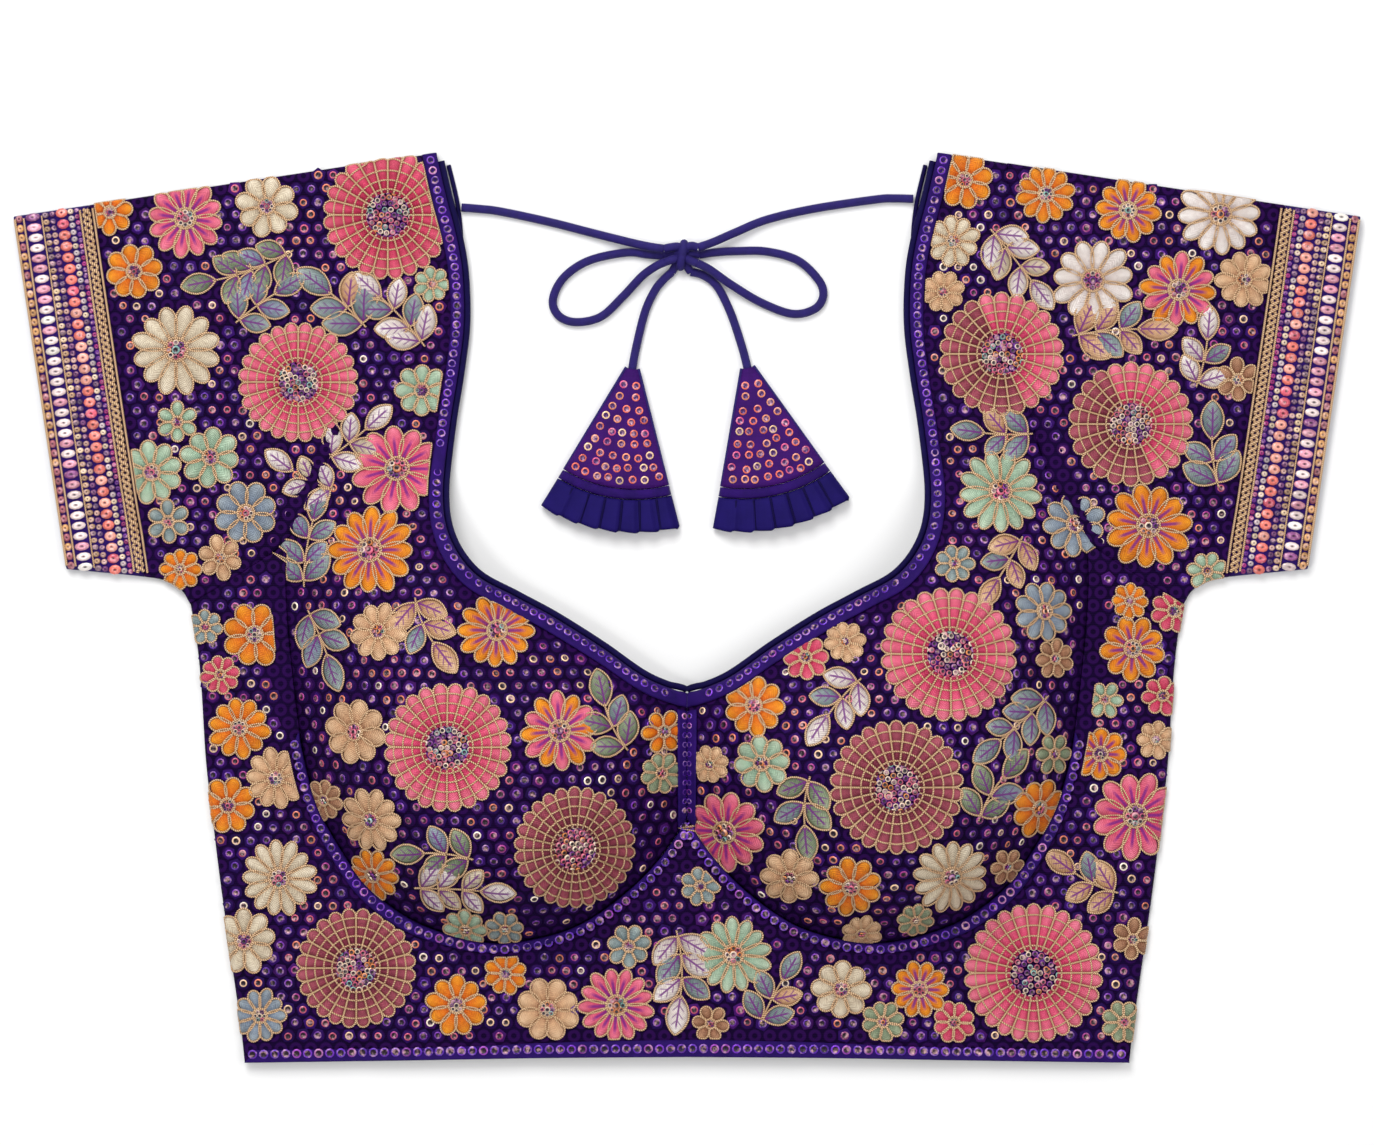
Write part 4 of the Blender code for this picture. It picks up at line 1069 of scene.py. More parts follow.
# %% [markdown]
# ## Padded petals
# A petal is a dome over a grid: one way runs from its root to its tip, and the other from edge to edge. Its width
# along the way is what makes it a round petal, a pointed leaf or the wedge of a medallion. All petals are worked out
# at once as one array, and then handed out to five meshes, one for each part of the blouse.

# %% Shape of every petal
ALONG, ACROSS = 10, 5
cx, cy, heading, start, end, half, shape, padding, flag, wide, high, is_upper = petals[:, :12].T
t = (0.5 - 0.5 * np.cos(math.pi * np.arange(ALONG) / (ALONG - 1)))[None, :]
s = np.array([-1, -0.62, 0, 0.62, 1])[None, None, :]
reach = start[:, None] + (end - start)[:, None] * t
skewed = t**1.35
width = half[:, None] * np.select(
    [shape[:, None] == ROUND, shape[:, None] == LEAF],
    [np.sqrt(4 * skewed * (1 - skewed)), np.sin(math.pi * t**1.05) ** 0.72],
    reach / end[:, None] * np.sqrt(1 - np.clip((t - 0.76) / 0.24, 0, 1) ** 2),
)
crown = np.where(shape[:, None] == WEDGE, np.sqrt(np.clip((1 - t) / 0.1, 0, 1)), (4 * t * (1 - t)).clip(0) ** 0.35)


def petal_plan(reach, aside):
    """Plan of points at a reach along each petal and a distance aside, stretched with its motif, inside its field."""
    ahead = heading.reshape(-1, *[1] * (reach.ndim - 1))
    fit = (slice(None), *[None] * (reach.ndim - 1))
    x = cx[fit] + wide[fit] * (reach * np.cos(ahead) - aside * np.sin(ahead))
    y = cy[fit] + high[fit] * (reach * np.sin(ahead) + aside * np.cos(ahead))
    low = kept_in(lower_field, x, y)
    up = kept_in(upper_field, x, y)
    return np.where(is_upper[fit] > 0, up[0], low[0]), np.where(is_upper[fit] > 0, up[1], low[1])


aside = width[..., None] * s
reach3 = np.broadcast_to(reach[..., None], aside.shape)
px, py = petal_plan(reach3, aside)
lift = padding[:, None, None] * crown[..., None] * np.sqrt(np.clip(1 - s**2, 0, 1))
petal_points = laid(px, py, lift - 0.1)
tip_share = np.broadcast_to((t**1.5)[..., None, None], (*aside.shape, 1))
petal_tint_and_shade = petals[:, None, None, 12:15] * (1 - tip_share) + petals[:, None, None, 15:18] * tip_share
# Painted shade and highlight: each petal is darkened towards its edges, as shade in the gaps between petals, and
# lightened along its middle.
petal_tint_and_shade = petal_tint_and_shade * (1.12 - 0.58 * s[..., None] ** 2)
code = flag[:, None, None] + 0.98 * np.broadcast_to(t[..., None], aside.shape)  # kind of petal + share of its length
petal_lay = np.stack([aside, reach3 - start[:, None, None], code], axis=-1)
print("petal points:", petal_points.shape)

# %% Petals of each part
petal_part = part_of(cx, cy, is_upper)
petal_inside = inside_own(is_upper > 0, px[:, 3:6, 2].mean(1), py[:, 3:6, 2].mean(1))
print("petals in each part:", np.bincount(petal_part, minlength=5))

# %% [markdown]
# The padded petals are worked in satin stitch: floss laid side by side over a felt core. The lay of each point tells
# the shader how far across and along the petal it is, so the stitches run slanting from edge to edge. Leaves have a
# stitched purple vein, and some orange and pink flowers have purple streaks from the heart. The sheen on the stitches
# and the shade between them are painted into the colour.

# %% Satin stitch
satin, s, shader = new_material("satin_stitch", 0.45, Specular_IOR_Level=0.2)
lay = stored(s, "lay")
tint = stored(s, "tint")
across, on, code = lay.part(0), lay.part(1), lay.part(2)
from_middle = s.maths("ABSOLUTE", across)
kind, share = s.maths("FLOOR", code), s.maths("FRACT", code)
strands = noise(s, place_in_mm(s), 0.9, 4.0)
sheen = noise(s, place_in_mm(s), 1.3, 3.0)
# Painted light on the satin: stitch crests and the sheen patches are lightened as a painted sheen.
stitches = (from_middle * 0.9 + on + strands * 0.9).wave(0.95)
row = (sheen * 1.6 + share * 0.35 - 0.55).over(0.0, 0.6)
is_veined = kind.over(0.4, 0.6) * kind.over(1.6, 1.4)
vein = from_middle.over(0.5, 0.3) * share.over(0.86, 0.74) * is_veined
side_dashes = (on - from_middle * 1.1).wave(3.2).over(0.84, 0.94) * from_middle.over(2.6, 2.0)
side_dashes = side_dashes * share.over(0.85, 0.7) * is_veined
streak = from_middle.over(0.9, 0.35) * share.over(0.72, 0.5) * kind.over(1.4, 1.6)
shaded = (stitches * 0.35 + row * 0.25).blend(tint, (1.0, 0.94, 0.9), "SOFT_LIGHT")
# Painted shade between the stitches and outside the sheen patches, plus random strand tone, and darker towards the
# petal's root.
dark = 0.36 * (1 - stitches) + 0.2 * (1 - row) + 0.15 * strands + 0.4 * share.over(0.32, 0.0)
shaded = dark.blend(shaded, (0.2, 0.11, 0.13), "MULTIPLY")
marked = s.maths("MAXIMUM", s.maths("MAXIMUM", vein * 0.9, streak * 0.85), side_dashes * 0.75)
colour = marked.blend(shaded, PURPLE)
finish_material(s, shader, colour, 0.34 + 0.22 * (1 - stitches), stitches + row - marked * 0.8, 0.2)
print("satin stitch:", len(satin.node_tree.nodes), "nodes")

# %% Petal meshes
petal_faces = grid_faces(ALONG, ACROSS)[:, ::-1]
probe = petal_points[0].reshape(-1, 3)[petal_faces]
print("petal faces point up:", np.cross(probe[:, 1] - probe[:, 0], probe[:, 2] - probe[:, 1])[:, 2].sum() > 0)
for index, part in enumerate(PARTS):
    mine = (petal_part == index) & petal_inside
    made = add_piece(
        f"{part}_petals", petal_points[mine], copies_of(petal_faces, mine.sum(), ALONG * ACROSS), satin,
        tint=petal_tint_and_shade[mine], lay=petal_lay[mine],
    )
    sewn_on(made)

# %% [markdown]
# ## Gold cord
# Every petal is outlined with zari, a thin metal thread twisted round silk and couched down. It is a tube along the
# edge of the petal, with a slanting twist in its shader. Medallions have rings of it over their petals, flowers
# have one round the heart, and sprays have it as their stems.

# %% Zari cord
zari, s, shader = new_material("zari_cord", 0.42, 0.25)
lay = stored(s, "lay")
twist_shading = (lay.part(0) + lay.part(1) * 0.5).wave(0.9)
worn = noise(s, place_in_mm(s), 6.0)
# Painted light and shade on the twist: pale gold on the crest of each turn, dark brown in the grooves between turns.
colour = twist_shading.blend(linear(130, 86, 54), linear(250, 214, 170))
colour = (worn.over(0.45, 0.7) * 0.35).blend(colour, linear(176, 130, 90))
finish_material(s, shader, colour, 0.3 + 0.25 * worn, twist_shading, 0.2)
ZARI_RADIUS, WEB_RADIUS, OUTLINE_CLEAR, RING_CLEAR, STEM_CLEAR = 0.45, 0.38, 0.7, 0.95, 0.45
order = np.r_[np.arange(ALONG), np.arange(ALONG - 1)[::-1]]
edge_side = np.r_[np.ones(ALONG), -np.ones(ALONG - 1)]
edge_x, edge_y = petal_plan(reach[:, order], width[:, order] * edge_side)
edge_lines = laid(edge_x, edge_y, OUTLINE_CLEAR)
print("outlines:", edge_lines.shape)

# %% Rings, stems and outlines in five meshes
RING_SHARES, HEART_SHARE = (0.4, 0.54, 0.69, 0.84), 0.27
cords = []  # line over the cloth, radius, part of the blouse


def lay_cord(x, y, clear, radius, centre, field):
    """A line of cord, kept in its field and counted in the part where its motif starts."""
    part = part_of(np.array(centre[0]), centre[1], field == "u")
    cords.append((laid(*kept_in(FIELDS[field], x, y), clear)[None], radius, part))


for x, y, across, up, count, colour, field in MEDALLIONS:
    turn = np.linspace(0, 2 * math.pi, 8 * count + 1)
    over = np.sqrt(np.clip(1 - ((turn * count / math.pi) % 2 - 1) ** 2, 0.02, 1))
    for share in RING_SHARES:
        ring = x + share * across * np.cos(turn), y + share * up * np.sin(turn)
        lay_cord(*ring, 1.35 * over + 0.15, WEB_RADIUS, (x, y), field)
turn = np.linspace(0, 2 * math.pi, 25)
for x, y, size, count, colour, field in FLOWERS:
    ring = x + HEART_SHARE * size * np.cos(turn), y + HEART_SHARE * size * np.sin(turn)
    lay_cord(*ring, RING_CLEAR, ZARI_RADIUS, (x, y), field)
for line, field in stems:
    lay_cord(*line.T, STEM_CLEAR, ZARI_RADIUS, line[0], field)
for index, part in enumerate(PARTS):
    mine = (petal_part == index) & petal_inside
    sets = [(edge_lines[mine], ZARI_RADIUS), *((line, radius) for line, radius, where in cords if where == index)]
    made = tube_set(f"{part}_zari", sets, 5, 2.6, zari)
    sewn_on(made)
    print(part, "zari faces:", len(made.data.polygons))

# %% [markdown]
# ## Rosettes and sequins
# Between the flowers the net is covered with small rosettes: a scalloped ring of purple thread, and a cup sequin
# sewn on it through its hole. Most sequins are purple, some rose or copper, and a few cream-gold ones sparkle. Both
# are the same thing, a profile turned round an axis, repeated about a thousand times with few faces each.

# %% A turned shape, repeated
def turned(profile, sides, scallop=0.0):
    """Points of a profile of (radius, height) turned round the axis, with its first ring scalloped, and its faces."""
    turn = np.linspace(0, 2 * math.pi, sides, endpoint=False)
    points = []
    for k, (radius, height) in enumerate(profile):
        edge = radius * (1 + scallop * (k == 0) * np.cos(turn * sides / 2))
        points.append(np.column_stack([edge * np.cos(turn), edge * np.sin(turn), np.full(sides, height)]))
    return np.vstack(points), grid_faces(len(profile), sides, wrap=True)


def sown(places, size, template, clear=0.0, turn=None):
    """A template at each place in plan, scaled and square to the cloth, with a turn of its own or a given one."""
    x, y = places.T
    gx, gy = looked_up(slope_x, x, y), looked_up(slope_y, x, y)
    up = np.stack([-gx, -gy, np.ones(len(x))], axis=1)
    up /= np.linalg.norm(up, axis=1)[:, None]
    first = np.cross(np.tile((0.0, 1.0, 0.0), (len(x), 1)), up)
    first /= np.linalg.norm(first, axis=1)[:, None]
    second = np.cross(up, first)
    turn = (random.uniform(0, 2 * math.pi, len(x)) if turn is None else np.broadcast_to(turn, len(x)))[:, None]
    a, b = np.cos(turn) * first + np.sin(turn) * second, np.cos(turn) * second - np.sin(turn) * first
    size = np.broadcast_to(size, len(x))[:, None, None]
    flat = template[:, 0, None] * a[:, None] + template[:, 1, None] * b[:, None]
    return laid(x, y, np.broadcast_to(clear, len(x)))[:, None] + size * (flat + template[:, 2, None] * up[:, None])


def sown_piece(name, places, size, template, material, tint, clear=0.0):
    """One piece of a template, (points, faces), sown at all the places."""
    shape, faces = template
    points = sown(places, size, shape, clear)
    made = add_piece(name, points, copies_of(faces, len(places), len(shape)), material, tint=tint)
    sewn_on(made)


def ring_tints(tint, hole, rings, sides, dark_from):
    """Tints of turned rings: a colour of its own for each copy, and the hole's from that ring inwards."""
    shade = np.ones((len(tint), rings, 1, 1)) * tint[:, None, None, :]
    shade[:, dark_from:] = hole
    return np.broadcast_to(shade, (len(tint), rings, sides, 3))


def chosen(count, table):
    """A colour for each of a number of beads, drawn from a table of (share, colour), with some spread of its own."""
    shares = np.array([row[0] for row in table])
    picked = np.array([row[1] for row in table])[random.choice(len(table), count, p=shares / shares.sum())]
    return picked * random.uniform(0.7, 1.25, (count, 1))


ROSETTE_SIDES = 10
BEAD_SIDES = 8
ROSETTE = turned([(2.85, 0.0), (2.2, 0.55), (1.55, 0.35)], ROSETTE_SIDES, 0.1)
SEQUIN = turned([(1.75, 0.4), (1.4, 0.85), (0.98, 0.55), (0.05, 0.42)], ROSETTE_SIDES)
BEAD = turned([(1.0, 0.0), (0.84, 0.62), (0.5, 0.6), (0.05, 0.4)], BEAD_SIDES)
print("faces: rosette", len(ROSETTE[1]), "sequin", len(SEQUIN[1]), "bead", len(BEAD[1]))

# %% Sequin and bead materials
thread, s, shader = new_material("rosette_thread", 0.65, Specular_IOR_Level=0.08)
tint = stored(s, "tint")
strands = noise(s, place_in_mm(s), 0.7, 2.0)
colour = (0.6 * strands).blend(tint, linear(120, 80, 190), "OVERLAY")
finish_material(s, shader, colour, 0.5 + 0.2 * strands, strands, 0.25)
sequins, s, shader = new_material("cup_sequins", 0.32, 0.3)
tint = stored(s, "tint")
glint_noise = noise(s, place_in_mm(s), 2.0)
# Painted glints: pale pink flecks screened over the tint where the noise is high; the same noise varies roughness and
# bump.
colour = (0.55 * glint_noise.over(0.5, 0.7)).blend(tint, linear(250, 196, 200), "SCREEN")
finish_material(s, shader, colour, 0.2 + 0.3 * glint_noise, glint_noise, 0.1)
print("materials:", thread.name, sequins.name)

# %% Sowing the rosettes
JITTER, SEAM_CLEAR, CHUNK = 0.35, 3.2, 500
step_x, step_y = ROSETTE_STEP, ROSETTE_STEP * math.sqrt(3) / 2
ix, iy = np.meshgrid(np.arange(-48, 49), np.arange(-38, 38))
sown_x = (ix * step_x + (iy % 2) * step_x / 2).ravel() + random.uniform(-JITTER, JITTER, ix.size)
sown_y = (iy * step_y).ravel() + random.uniform(-JITTER, JITTER, ix.size)
reaches = np.stack([end * 0.3 + start * 0.7, end * 0.72 + start * 0.28], axis=1)
taken_x = (cx[:, None] + wide[:, None] * reaches * np.cos(heading[:, None]))[petal_inside].ravel()
taken_y = (cy[:, None] + high[:, None] * reaches * np.sin(heading[:, None]))[petal_inside].ravel()
taken_r = np.repeat(np.maximum(half * 0.75, (end - start) * 0.26)[petal_inside], 2) + 0.9
free = distance_to(armhole_curve, np.abs(sown_x), sown_y) > SEAM_CLEAR
for begin in range(0, len(sown_x), CHUNK):
    here = slice(begin, begin + CHUNK)
    away = np.hypot(sown_x[here, None] - taken_x, sown_y[here, None] - taken_y) - taken_r
    free[here] = away.min(axis=1) > 0
in_upper, in_lower = (
    np.all([inside(field, np.abs(sown_x) + 2 * np.cos(a), sown_y + 2 * np.sin(a)) for a in range(6)], axis=0)
    for field in (upper_field, lower_field)
)
rosette_part = part_of(sown_x, sown_y, in_upper)
PURPLES = [
    (3, linear(84, 30, 146)), (3, linear(110, 38, 158)), (3, linear(156, 48, 130)), (3, linear(194, 80, 112)),
    (2.4, linear(218, 120, 92)), (1.4, linear(244, 200, 160)), (0.8, linear(255, 234, 212)),
]
DARK_THREADS = [(3, linear(36, 10, 70)), (2, linear(50, 14, 88)), (1, linear(68, 20, 90))]
HOLE = linear(26, 4, 26)
for index, part in enumerate(PARTS):
    mine = free & (in_lower if index == 2 else in_upper) & (rosette_part == index)
    places = np.column_stack([sown_x, sown_y])[mine]
    size = random.uniform(0.88, 1.06, len(places))
    shade = ring_tints(chosen(len(places), DARK_THREADS), HOLE, 3, ROSETTE_SIDES, 3)
    sown_piece(f"{part}_rosettes", places, size, ROSETTE, thread, shade)
    shine = ring_tints(chosen(len(places), PURPLES), HOLE, 4, ROSETTE_SIDES, 2)
    sown_piece(f"{part}_sequins", places, size, SEQUIN, sequins, shine)
    print(part, len(places), "rosettes")

# %% [markdown]
# ## Hearts of the flowers
# A medallion's heart is a cluster of tiny ring beads in mixed colours, and a smaller flower has one bead in the
# middle with a wreath of them round it.

# %% Heart beads
HEART_COLOURS = [
    (2.6, linear(128, 52, 150)), (3, linear(222, 110, 140)), (1.4, linear(236, 150, 84)), (4, linear(244, 220, 196)),
    (0.7, linear(140, 190, 184)),
]
HEART_RINGS = [(0, 1, 0.0), (2.6, 6, 0.0), (5.1, 12, 0.3), (7.5, 18, 0.1), (9.7, 23, 0.2)]  # radius, beads, first
HEART_SCALE = 27  # reach of the medallion that the rings above are drawn for
WREATH_SHARE = 0.165  # radius of a smaller flower's wreath of beads, as a share of its reach
hearts = []  # across, up, size, height over the cloth, whether in the upper field


def add_hearts(x, y, size, clear, field):
    """Beads of one size at one height over the cloth."""
    hearts.append(np.column_stack(np.broadcast_arrays(x, y, size, clear, field == "u")))


for x, y, across, up, count, colour, field in MEDALLIONS:
    for radius, number, first in HEART_RINGS:
        turn = first + 2 * math.pi * np.arange(number) / number
        ring = radius * np.cos(turn) * across / HEART_SCALE, radius * np.sin(turn) * up / HEART_SCALE
        add_hearts(x + ring[0], y + ring[1], 1.26, 0.25, field)
for x, y, size, count, colour, field in FLOWERS:
    number = 6 if size < 12 else 8
    turn = 2 * math.pi * np.arange(number) / number
    out = WREATH_SHARE * size
    add_hearts([x], [y], 0.1 * size, 0.75, field)
    add_hearts(x + out * np.cos(turn), y + out * np.sin(turn), 0.058 * size + 0.22, 0.6, field)
heart_x, heart_y, heart_size, heart_clear, heart_upper = np.vstack(hearts).T
heart_here = inside_own(heart_upper, heart_x, heart_y)
heart_part = part_of(heart_x, heart_y, heart_upper)
for index, part in enumerate(PARTS):
    mine = (heart_part == index) & heart_here
    places = np.column_stack([heart_x, heart_y])[mine]
    tint = ring_tints(chosen(len(places), HEART_COLOURS), HOLE, 4, BEAD_SIDES, 2)
    sown_piece(f"{part}_heart_beads", places, heart_size[mine], BEAD, sequins, tint, heart_clear[mine])
print(len(heart_x), "heart beads")

# %% [markdown]
# ## Rows of beads on the bands
# Each band carries one row of ring sequins, sewn edge to edge. A row is a set of even lengths along the band's own
# curve, so it bends with it.

# %% Band beads
BAND_COLOURS = [
    (5, linear(92, 34, 176)), (3, linear(116, 46, 192)), (1, linear(150, 60, 176)), (0.3, linear(196, 120, 190)),
]


def row_along(curve, first, last, pitch, aside):
    """Places at an even pitch along a curve, on both halves of the blouse."""
    line = along(curve, np.arange(first, last, pitch), aside)
    return np.vstack([line, line * (-1, 1)])


neck_row = row_along(neck_curve, 3.0, neck_end - 5.2, 4.2, -(2 * PIPING_RADIUS + SEAM_GAP + NECK_BAND / 2))
trim_row = row_along(cup_seam_curve, 1.5, length_near(cup_seam_curve, 160, -56), 4.5, CUP_TRIM / 2)
hem_line = hem_curve + (0.0, HEM_BAND / 2)
hem_row = row_along(hem_line, 2.3, run_of(hem_line)[-1] - 1.5, 4.6, 0.0)
centre_row = row_along(np.array([(1.75, -46.0), (1.75, -88.0)]), 0.0, 42.0, 3.9, 0.0)
for name, row, size in (
    ("neck_band", neck_row, 1.05), ("cup_trim", trim_row, 1.1), ("hem_band", hem_row, 1.15),
    ("centre_trim", centre_row, 0.78),
):
    tint = ring_tints(chosen(len(row), BAND_COLOURS), HOLE, 4, ROSETTE_SIDES, 2)
    sown_piece(f"{name}_sequins", row, size, SEQUIN, sequins, tint, 0.9)
    print(name, len(row), "sequins")

# %% [markdown]
# ## The beaded borders of the sleeves
# The sleeve ends in a stiff border of straight rows along the cuff: a chain of gold rings, pearly oval sequins,
# small gold beads, coral sequins, clear silver beads, tiny magenta beads, and a plait of gold cord where the border
# meets the sleeve. Each row is a template repeated at its own distance from the cuff.

# %% Border cloth and tube
BORDER_STATIONS, BORDER_STEPS = 60, 9


def border_plan():
    """The border from just beyond the sleeve to the cuff, in the same stations as the sleeve."""
    index = np.linspace(0, len(armhole_places) - 1, BORDER_STATIONS)
    places = np.interp(index, np.arange(len(armhole_places)), armhole_places)
    s = (places / places[-1])[:, None]
    rows = []
    for distance in np.linspace(BORDER_WIDTH - SEAM_GAP, 0.0, BORDER_STEPS):
        first, last = border_line(distance)
        rows.append(first + s * (last - first))
    return np.array(rows)


rim = border_plan()
BORDER_CUT = (0.31, 0.034)
for side, name in SIDES:
    made = flat_tube(f"sleeve_border_{name}_cloth", rim, top_of_sleeve(rim), BACK_WALL, band_cloth, side)
    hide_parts(f"sleeve_border_{name}")
    area = round(min(2 * area_of(np.dstack([rim, rim[..., 0] * 0])), BORDER_CUT[0] * BORDER_CUT[1]), 5)
print("border cut, all round:", BORDER_CUT, "area", round(area, 5), "m2")

# %% Rows of the border
ROW_INSET = 1.75


def border_row(distance, pitch):
    """Places along the line at that distance from the cuff."""
    first, last = border_line(distance)
    length = np.linalg.norm(last - first)
    count = int((length - 2 * ROW_INSET) / pitch) + 1
    t = (ROW_INSET + np.linspace(0, 1, count) * (length - 2 * ROW_INSET)) / length
    return first + t[:, None] * (last - first)


CUFF_TURN = math.atan2(CUFF_TOP[1] - CUFF_FOOT[1], CUFF_TOP[0] - CUFF_FOOT[0]) - math.pi / 2
BORDER_ROWS = [  # distance from the cuff, pitch, size across and along, height, colours
    (2.2, 3.9, 1.6, 1.75, 1.0, [(2, linear(198, 146, 96)), (1, linear(150, 84, 96))]),
    (8.0, 4.3, 3.2, 1.8, 1.1, [
        (4, linear(240, 216, 214)), (3, linear(222, 150, 170)), (1, linear(250, 240, 232)), (1, linear(150, 84, 140)),
    ]),
    (13.3, 2.9, 1.5, 1.25, 1.4, [(2, linear(176, 140, 112)), (2, linear(120, 96, 110)), (1, linear(222, 192, 158))]),
    (16.2, 2.9, 1.3, 1.25, 1.3, [(2, linear(110, 60, 110)), (2, linear(190, 150, 140)), (1, linear(84, 60, 100))]),
    (20.2, 4.7, 2.6, 2.1, 1.2, [(3, linear(232, 120, 108)), (2, linear(238, 160, 144)), (1, linear(214, 92, 112))]),
    (24.0, 2.9, 1.35, 1.25, 1.3, [(3, linear(182, 168, 172)), (2, linear(212, 190, 164)), (2, linear(116, 84, 120))]),
    (26.6, 2.5, 1.15, 1.1, 1.1, [(2, linear(150, 34, 112)), (2, linear(96, 34, 130))]),
]
row_shape, row_faces = turned([(1.0, 0.0), (0.86, 0.5), (0.42, 0.62), (0.05, 0.4)], ROSETTE_SIDES)
for side, name in SIDES:
    points, tints = [], []
    for distance, pitch, across, lengthways, tall, colours in BORDER_ROWS:
        places = border_row(distance, pitch) * (side, 1)
        template = row_shape * (across, lengthways, tall)
        points.append(sown(places, 1.0, template, 0.05, turn=side * CUFF_TURN).reshape(-1, 3))
        tints.append(ring_tints(chosen(len(places), colours), HOLE, 4, ROSETTE_SIDES, 3).reshape(-1, 3))
    points, tints = np.vstack(points), np.vstack(tints)
    count = len(points) // len(row_shape)
    faces = copies_of(row_faces, count, len(row_shape))
    made = add_piece(f"sleeve_border_{name}_beads", points, faces, sequins, tint=tints)
    sewn_on(made)
print(count, "beads and sequins on a border")

# %% Plait and edge cords of the border
PLAIT_PERIOD, PLAIT_POINTS = 5.6, 240
BORDER_CORDS = [  # distance from the cuff, sway, phase, rise, radius
    (30.6, 1.35, 0.0, 0.4, 0.72), (30.6, 1.35, math.pi, 0.4, 0.72), (33.4, 0.0, 0.0, 0.0, 0.5),
    (28.0, 0.0, 0.0, 0.0, 0.5), (0.5, 0.0, 0.0, 0.0, 0.55), (4.2, 0.0, 0.0, 0.0, 0.45), (11.8, 0.0, 0.0, 0.0, 0.35),
]


def border_cord(distance, sway, phase, rise):
    """A cord along the cuff at that distance, swaying sideways and up as a sine."""
    first, last = border_line(distance)
    length = np.linalg.norm(last - first)
    t = np.linspace(0.012, 0.988, PLAIT_POINTS)
    across = (last - first)[::-1] * (1, -1) / length
    swing = 2 * math.pi * t * length / PLAIT_PERIOD + phase
    line = first + t[:, None] * (last - first) + (sway * np.sin(swing))[:, None] * across
    return line, 0.55 + rise * np.cos(swing)


for side, name in SIDES:
    sets = []
    for *course, radius in BORDER_CORDS:
        line, clear = border_cord(*course)
        sets.append((laid(line[:, 0] * side, line[:, 1], clear)[None], radius))
    made = tube_set(f"sleeve_border_{name}_plait", sets, 6, 4.4, zari)
    sewn_on(made)
print("plait faces:", len(made.data.polygons))

# %% [markdown]
# ## The knot of the bow
# The leads, loops and tails of the dori meet in a small round knot, with one turn of the cord over the front. Its
# strands are tubes like the dori itself: each runs from where a stretch of cord ends to the middle, under the turn.

# %% Knot strands
KNOT = (-2.3, 146.8, 4.3)
STRANDS = [
    [(-9.6, 149.4, 5.7), (-6.6, 150.0, 6.0), (-3.6, 150.2, 5.6), (0.4, 148.6, 4.2)],
    [(4.6, 149.9, 5.7), (1.8, 150.6, 5.8), (-1.6, 149.4, 5.2), (-4.6, 147.4, 3.6)],
    [(-9.7, 146.7, 1.8), (-7.2, 147.4, 2.6), (-4.6, 147.0, 3.2), (-1.0, 146.4, 3.4)],
    [(5.1, 147.2, 1.8), (2.6, 147.6, 2.6), (0.2, 147.0, 3.2), (-3.6, 146.2, 3.4)],
    [(-9.0, 143.9, 5.7), (-6.4, 144.8, 5.9), (-3.8, 145.6, 5.2), (-0.8, 147.2, 4.2)],
    [(4.4, 143.3, 5.8), (1.9, 144.2, 5.9), (-0.6, 145.4, 5.2), (-3.8, 147.2, 4.2)],
    [(-6.3, 140.0, 1.8), (-5.0, 142.2, 2.4), (-3.8, 144.4, 3.0), (-2.8, 146.6, 3.6)],
    [(1.6, 140.0, 1.8), (0.2, 142.0, 2.4), (-1.0, 144.2, 3.0), (-1.8, 146.6, 3.6)],
]
turn = np.linspace(0, 2 * math.pi, 41)
wrap = np.column_stack([
    KNOT[0] + 0.8 * np.sin(turn) + 0.3, KNOT[1] + 5.0 * np.sin(turn), KNOT[2] + 2.35 * np.cos(turn) + 0.05,
])
lines = [wrap, *(smooth(rows, 8) for rows in STRANDS)]
knot = tube_set("dori_knot_turns", [(line[None], DORI_RADIUS) for line in lines], 12, 11.0, dori_cloth)
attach(knot, "root")
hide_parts("dori_knot")
heights = [vertex.co.z / MM for vertex in knot.data.vertices]
print("knot height, mm:", round(min(heights), 2), "to", round(max(heights), 2))

# %% [markdown]
# ## The latkans
# A latkan is the tassel on each tail: here a flat cone of purple cloth with copper rings, a braid round its foot,
# and a pleated frill of the dori cloth. Each part is a slice of a circle round the tip, pressed flat, so its points
# are a radius and an angle.

# %% Latkan cloth
latkan_cloth, s, shader = new_material("latkan_cloth", 0.6, Specular_IOR_Level=0.1)
place = place_in_mm(s)
weave = place.part(0).wave(0.6) * place.part(1).wave(0.6)
clouds = noise(s, place, 7.0)
colour = (weave * 0.4 + clouds * 0.6).over(0.1, 0.8).blend(linear(38, 8, 76), linear(76, 20, 124))
finish_material(s, shader, colour, None, weave + clouds, 0.15)
frill_cloth, s, shader = new_material("frill_cloth", 0.65, Specular_IOR_Level=0.1)
place = place_in_mm(s)
weave = place.part(0).wave(0.5) * place.part(1).wave(0.5)
colour = (weave * 0.5 + noise(s, place, 9.0) * 0.5).over(0.1, 0.8).blend(linear(18, 8, 74), linear(34, 20, 110))
finish_material(s, shader, colour, None, weave, 0.1)
LATKANS = {"left": ((-22.0, 105.6), -8.5), "right": ((24.0, 105.9), 13.0)}
HALF_ANGLE, CONE, BRAID, FRILL = math.radians(23.2), (6.6, 56.8), (57.1, 61.0), (61.3, 75.4)
print("latkans:", list(LATKANS))

# %% Latkan parts
def latkan_top(radius, turn):
    """Height over the surface: thin at the tip, fuller at the foot and in the middle."""
    share = np.clip((radius - CONE[0]) / CONE[1], 0, 1)
    return 4.4 + 2.8 * share * (0.4 + 0.6 * (1 - (turn / HALF_ANGLE) ** 2))


def latkan_plan(centre, swing, radius, turn):
    """Plan of points at a radius and an angle from the tip."""
    angle = math.radians(swing) + turn
    return np.stack([centre[0] + radius * np.sin(angle), centre[1] - radius * np.cos(angle)], axis=-1)


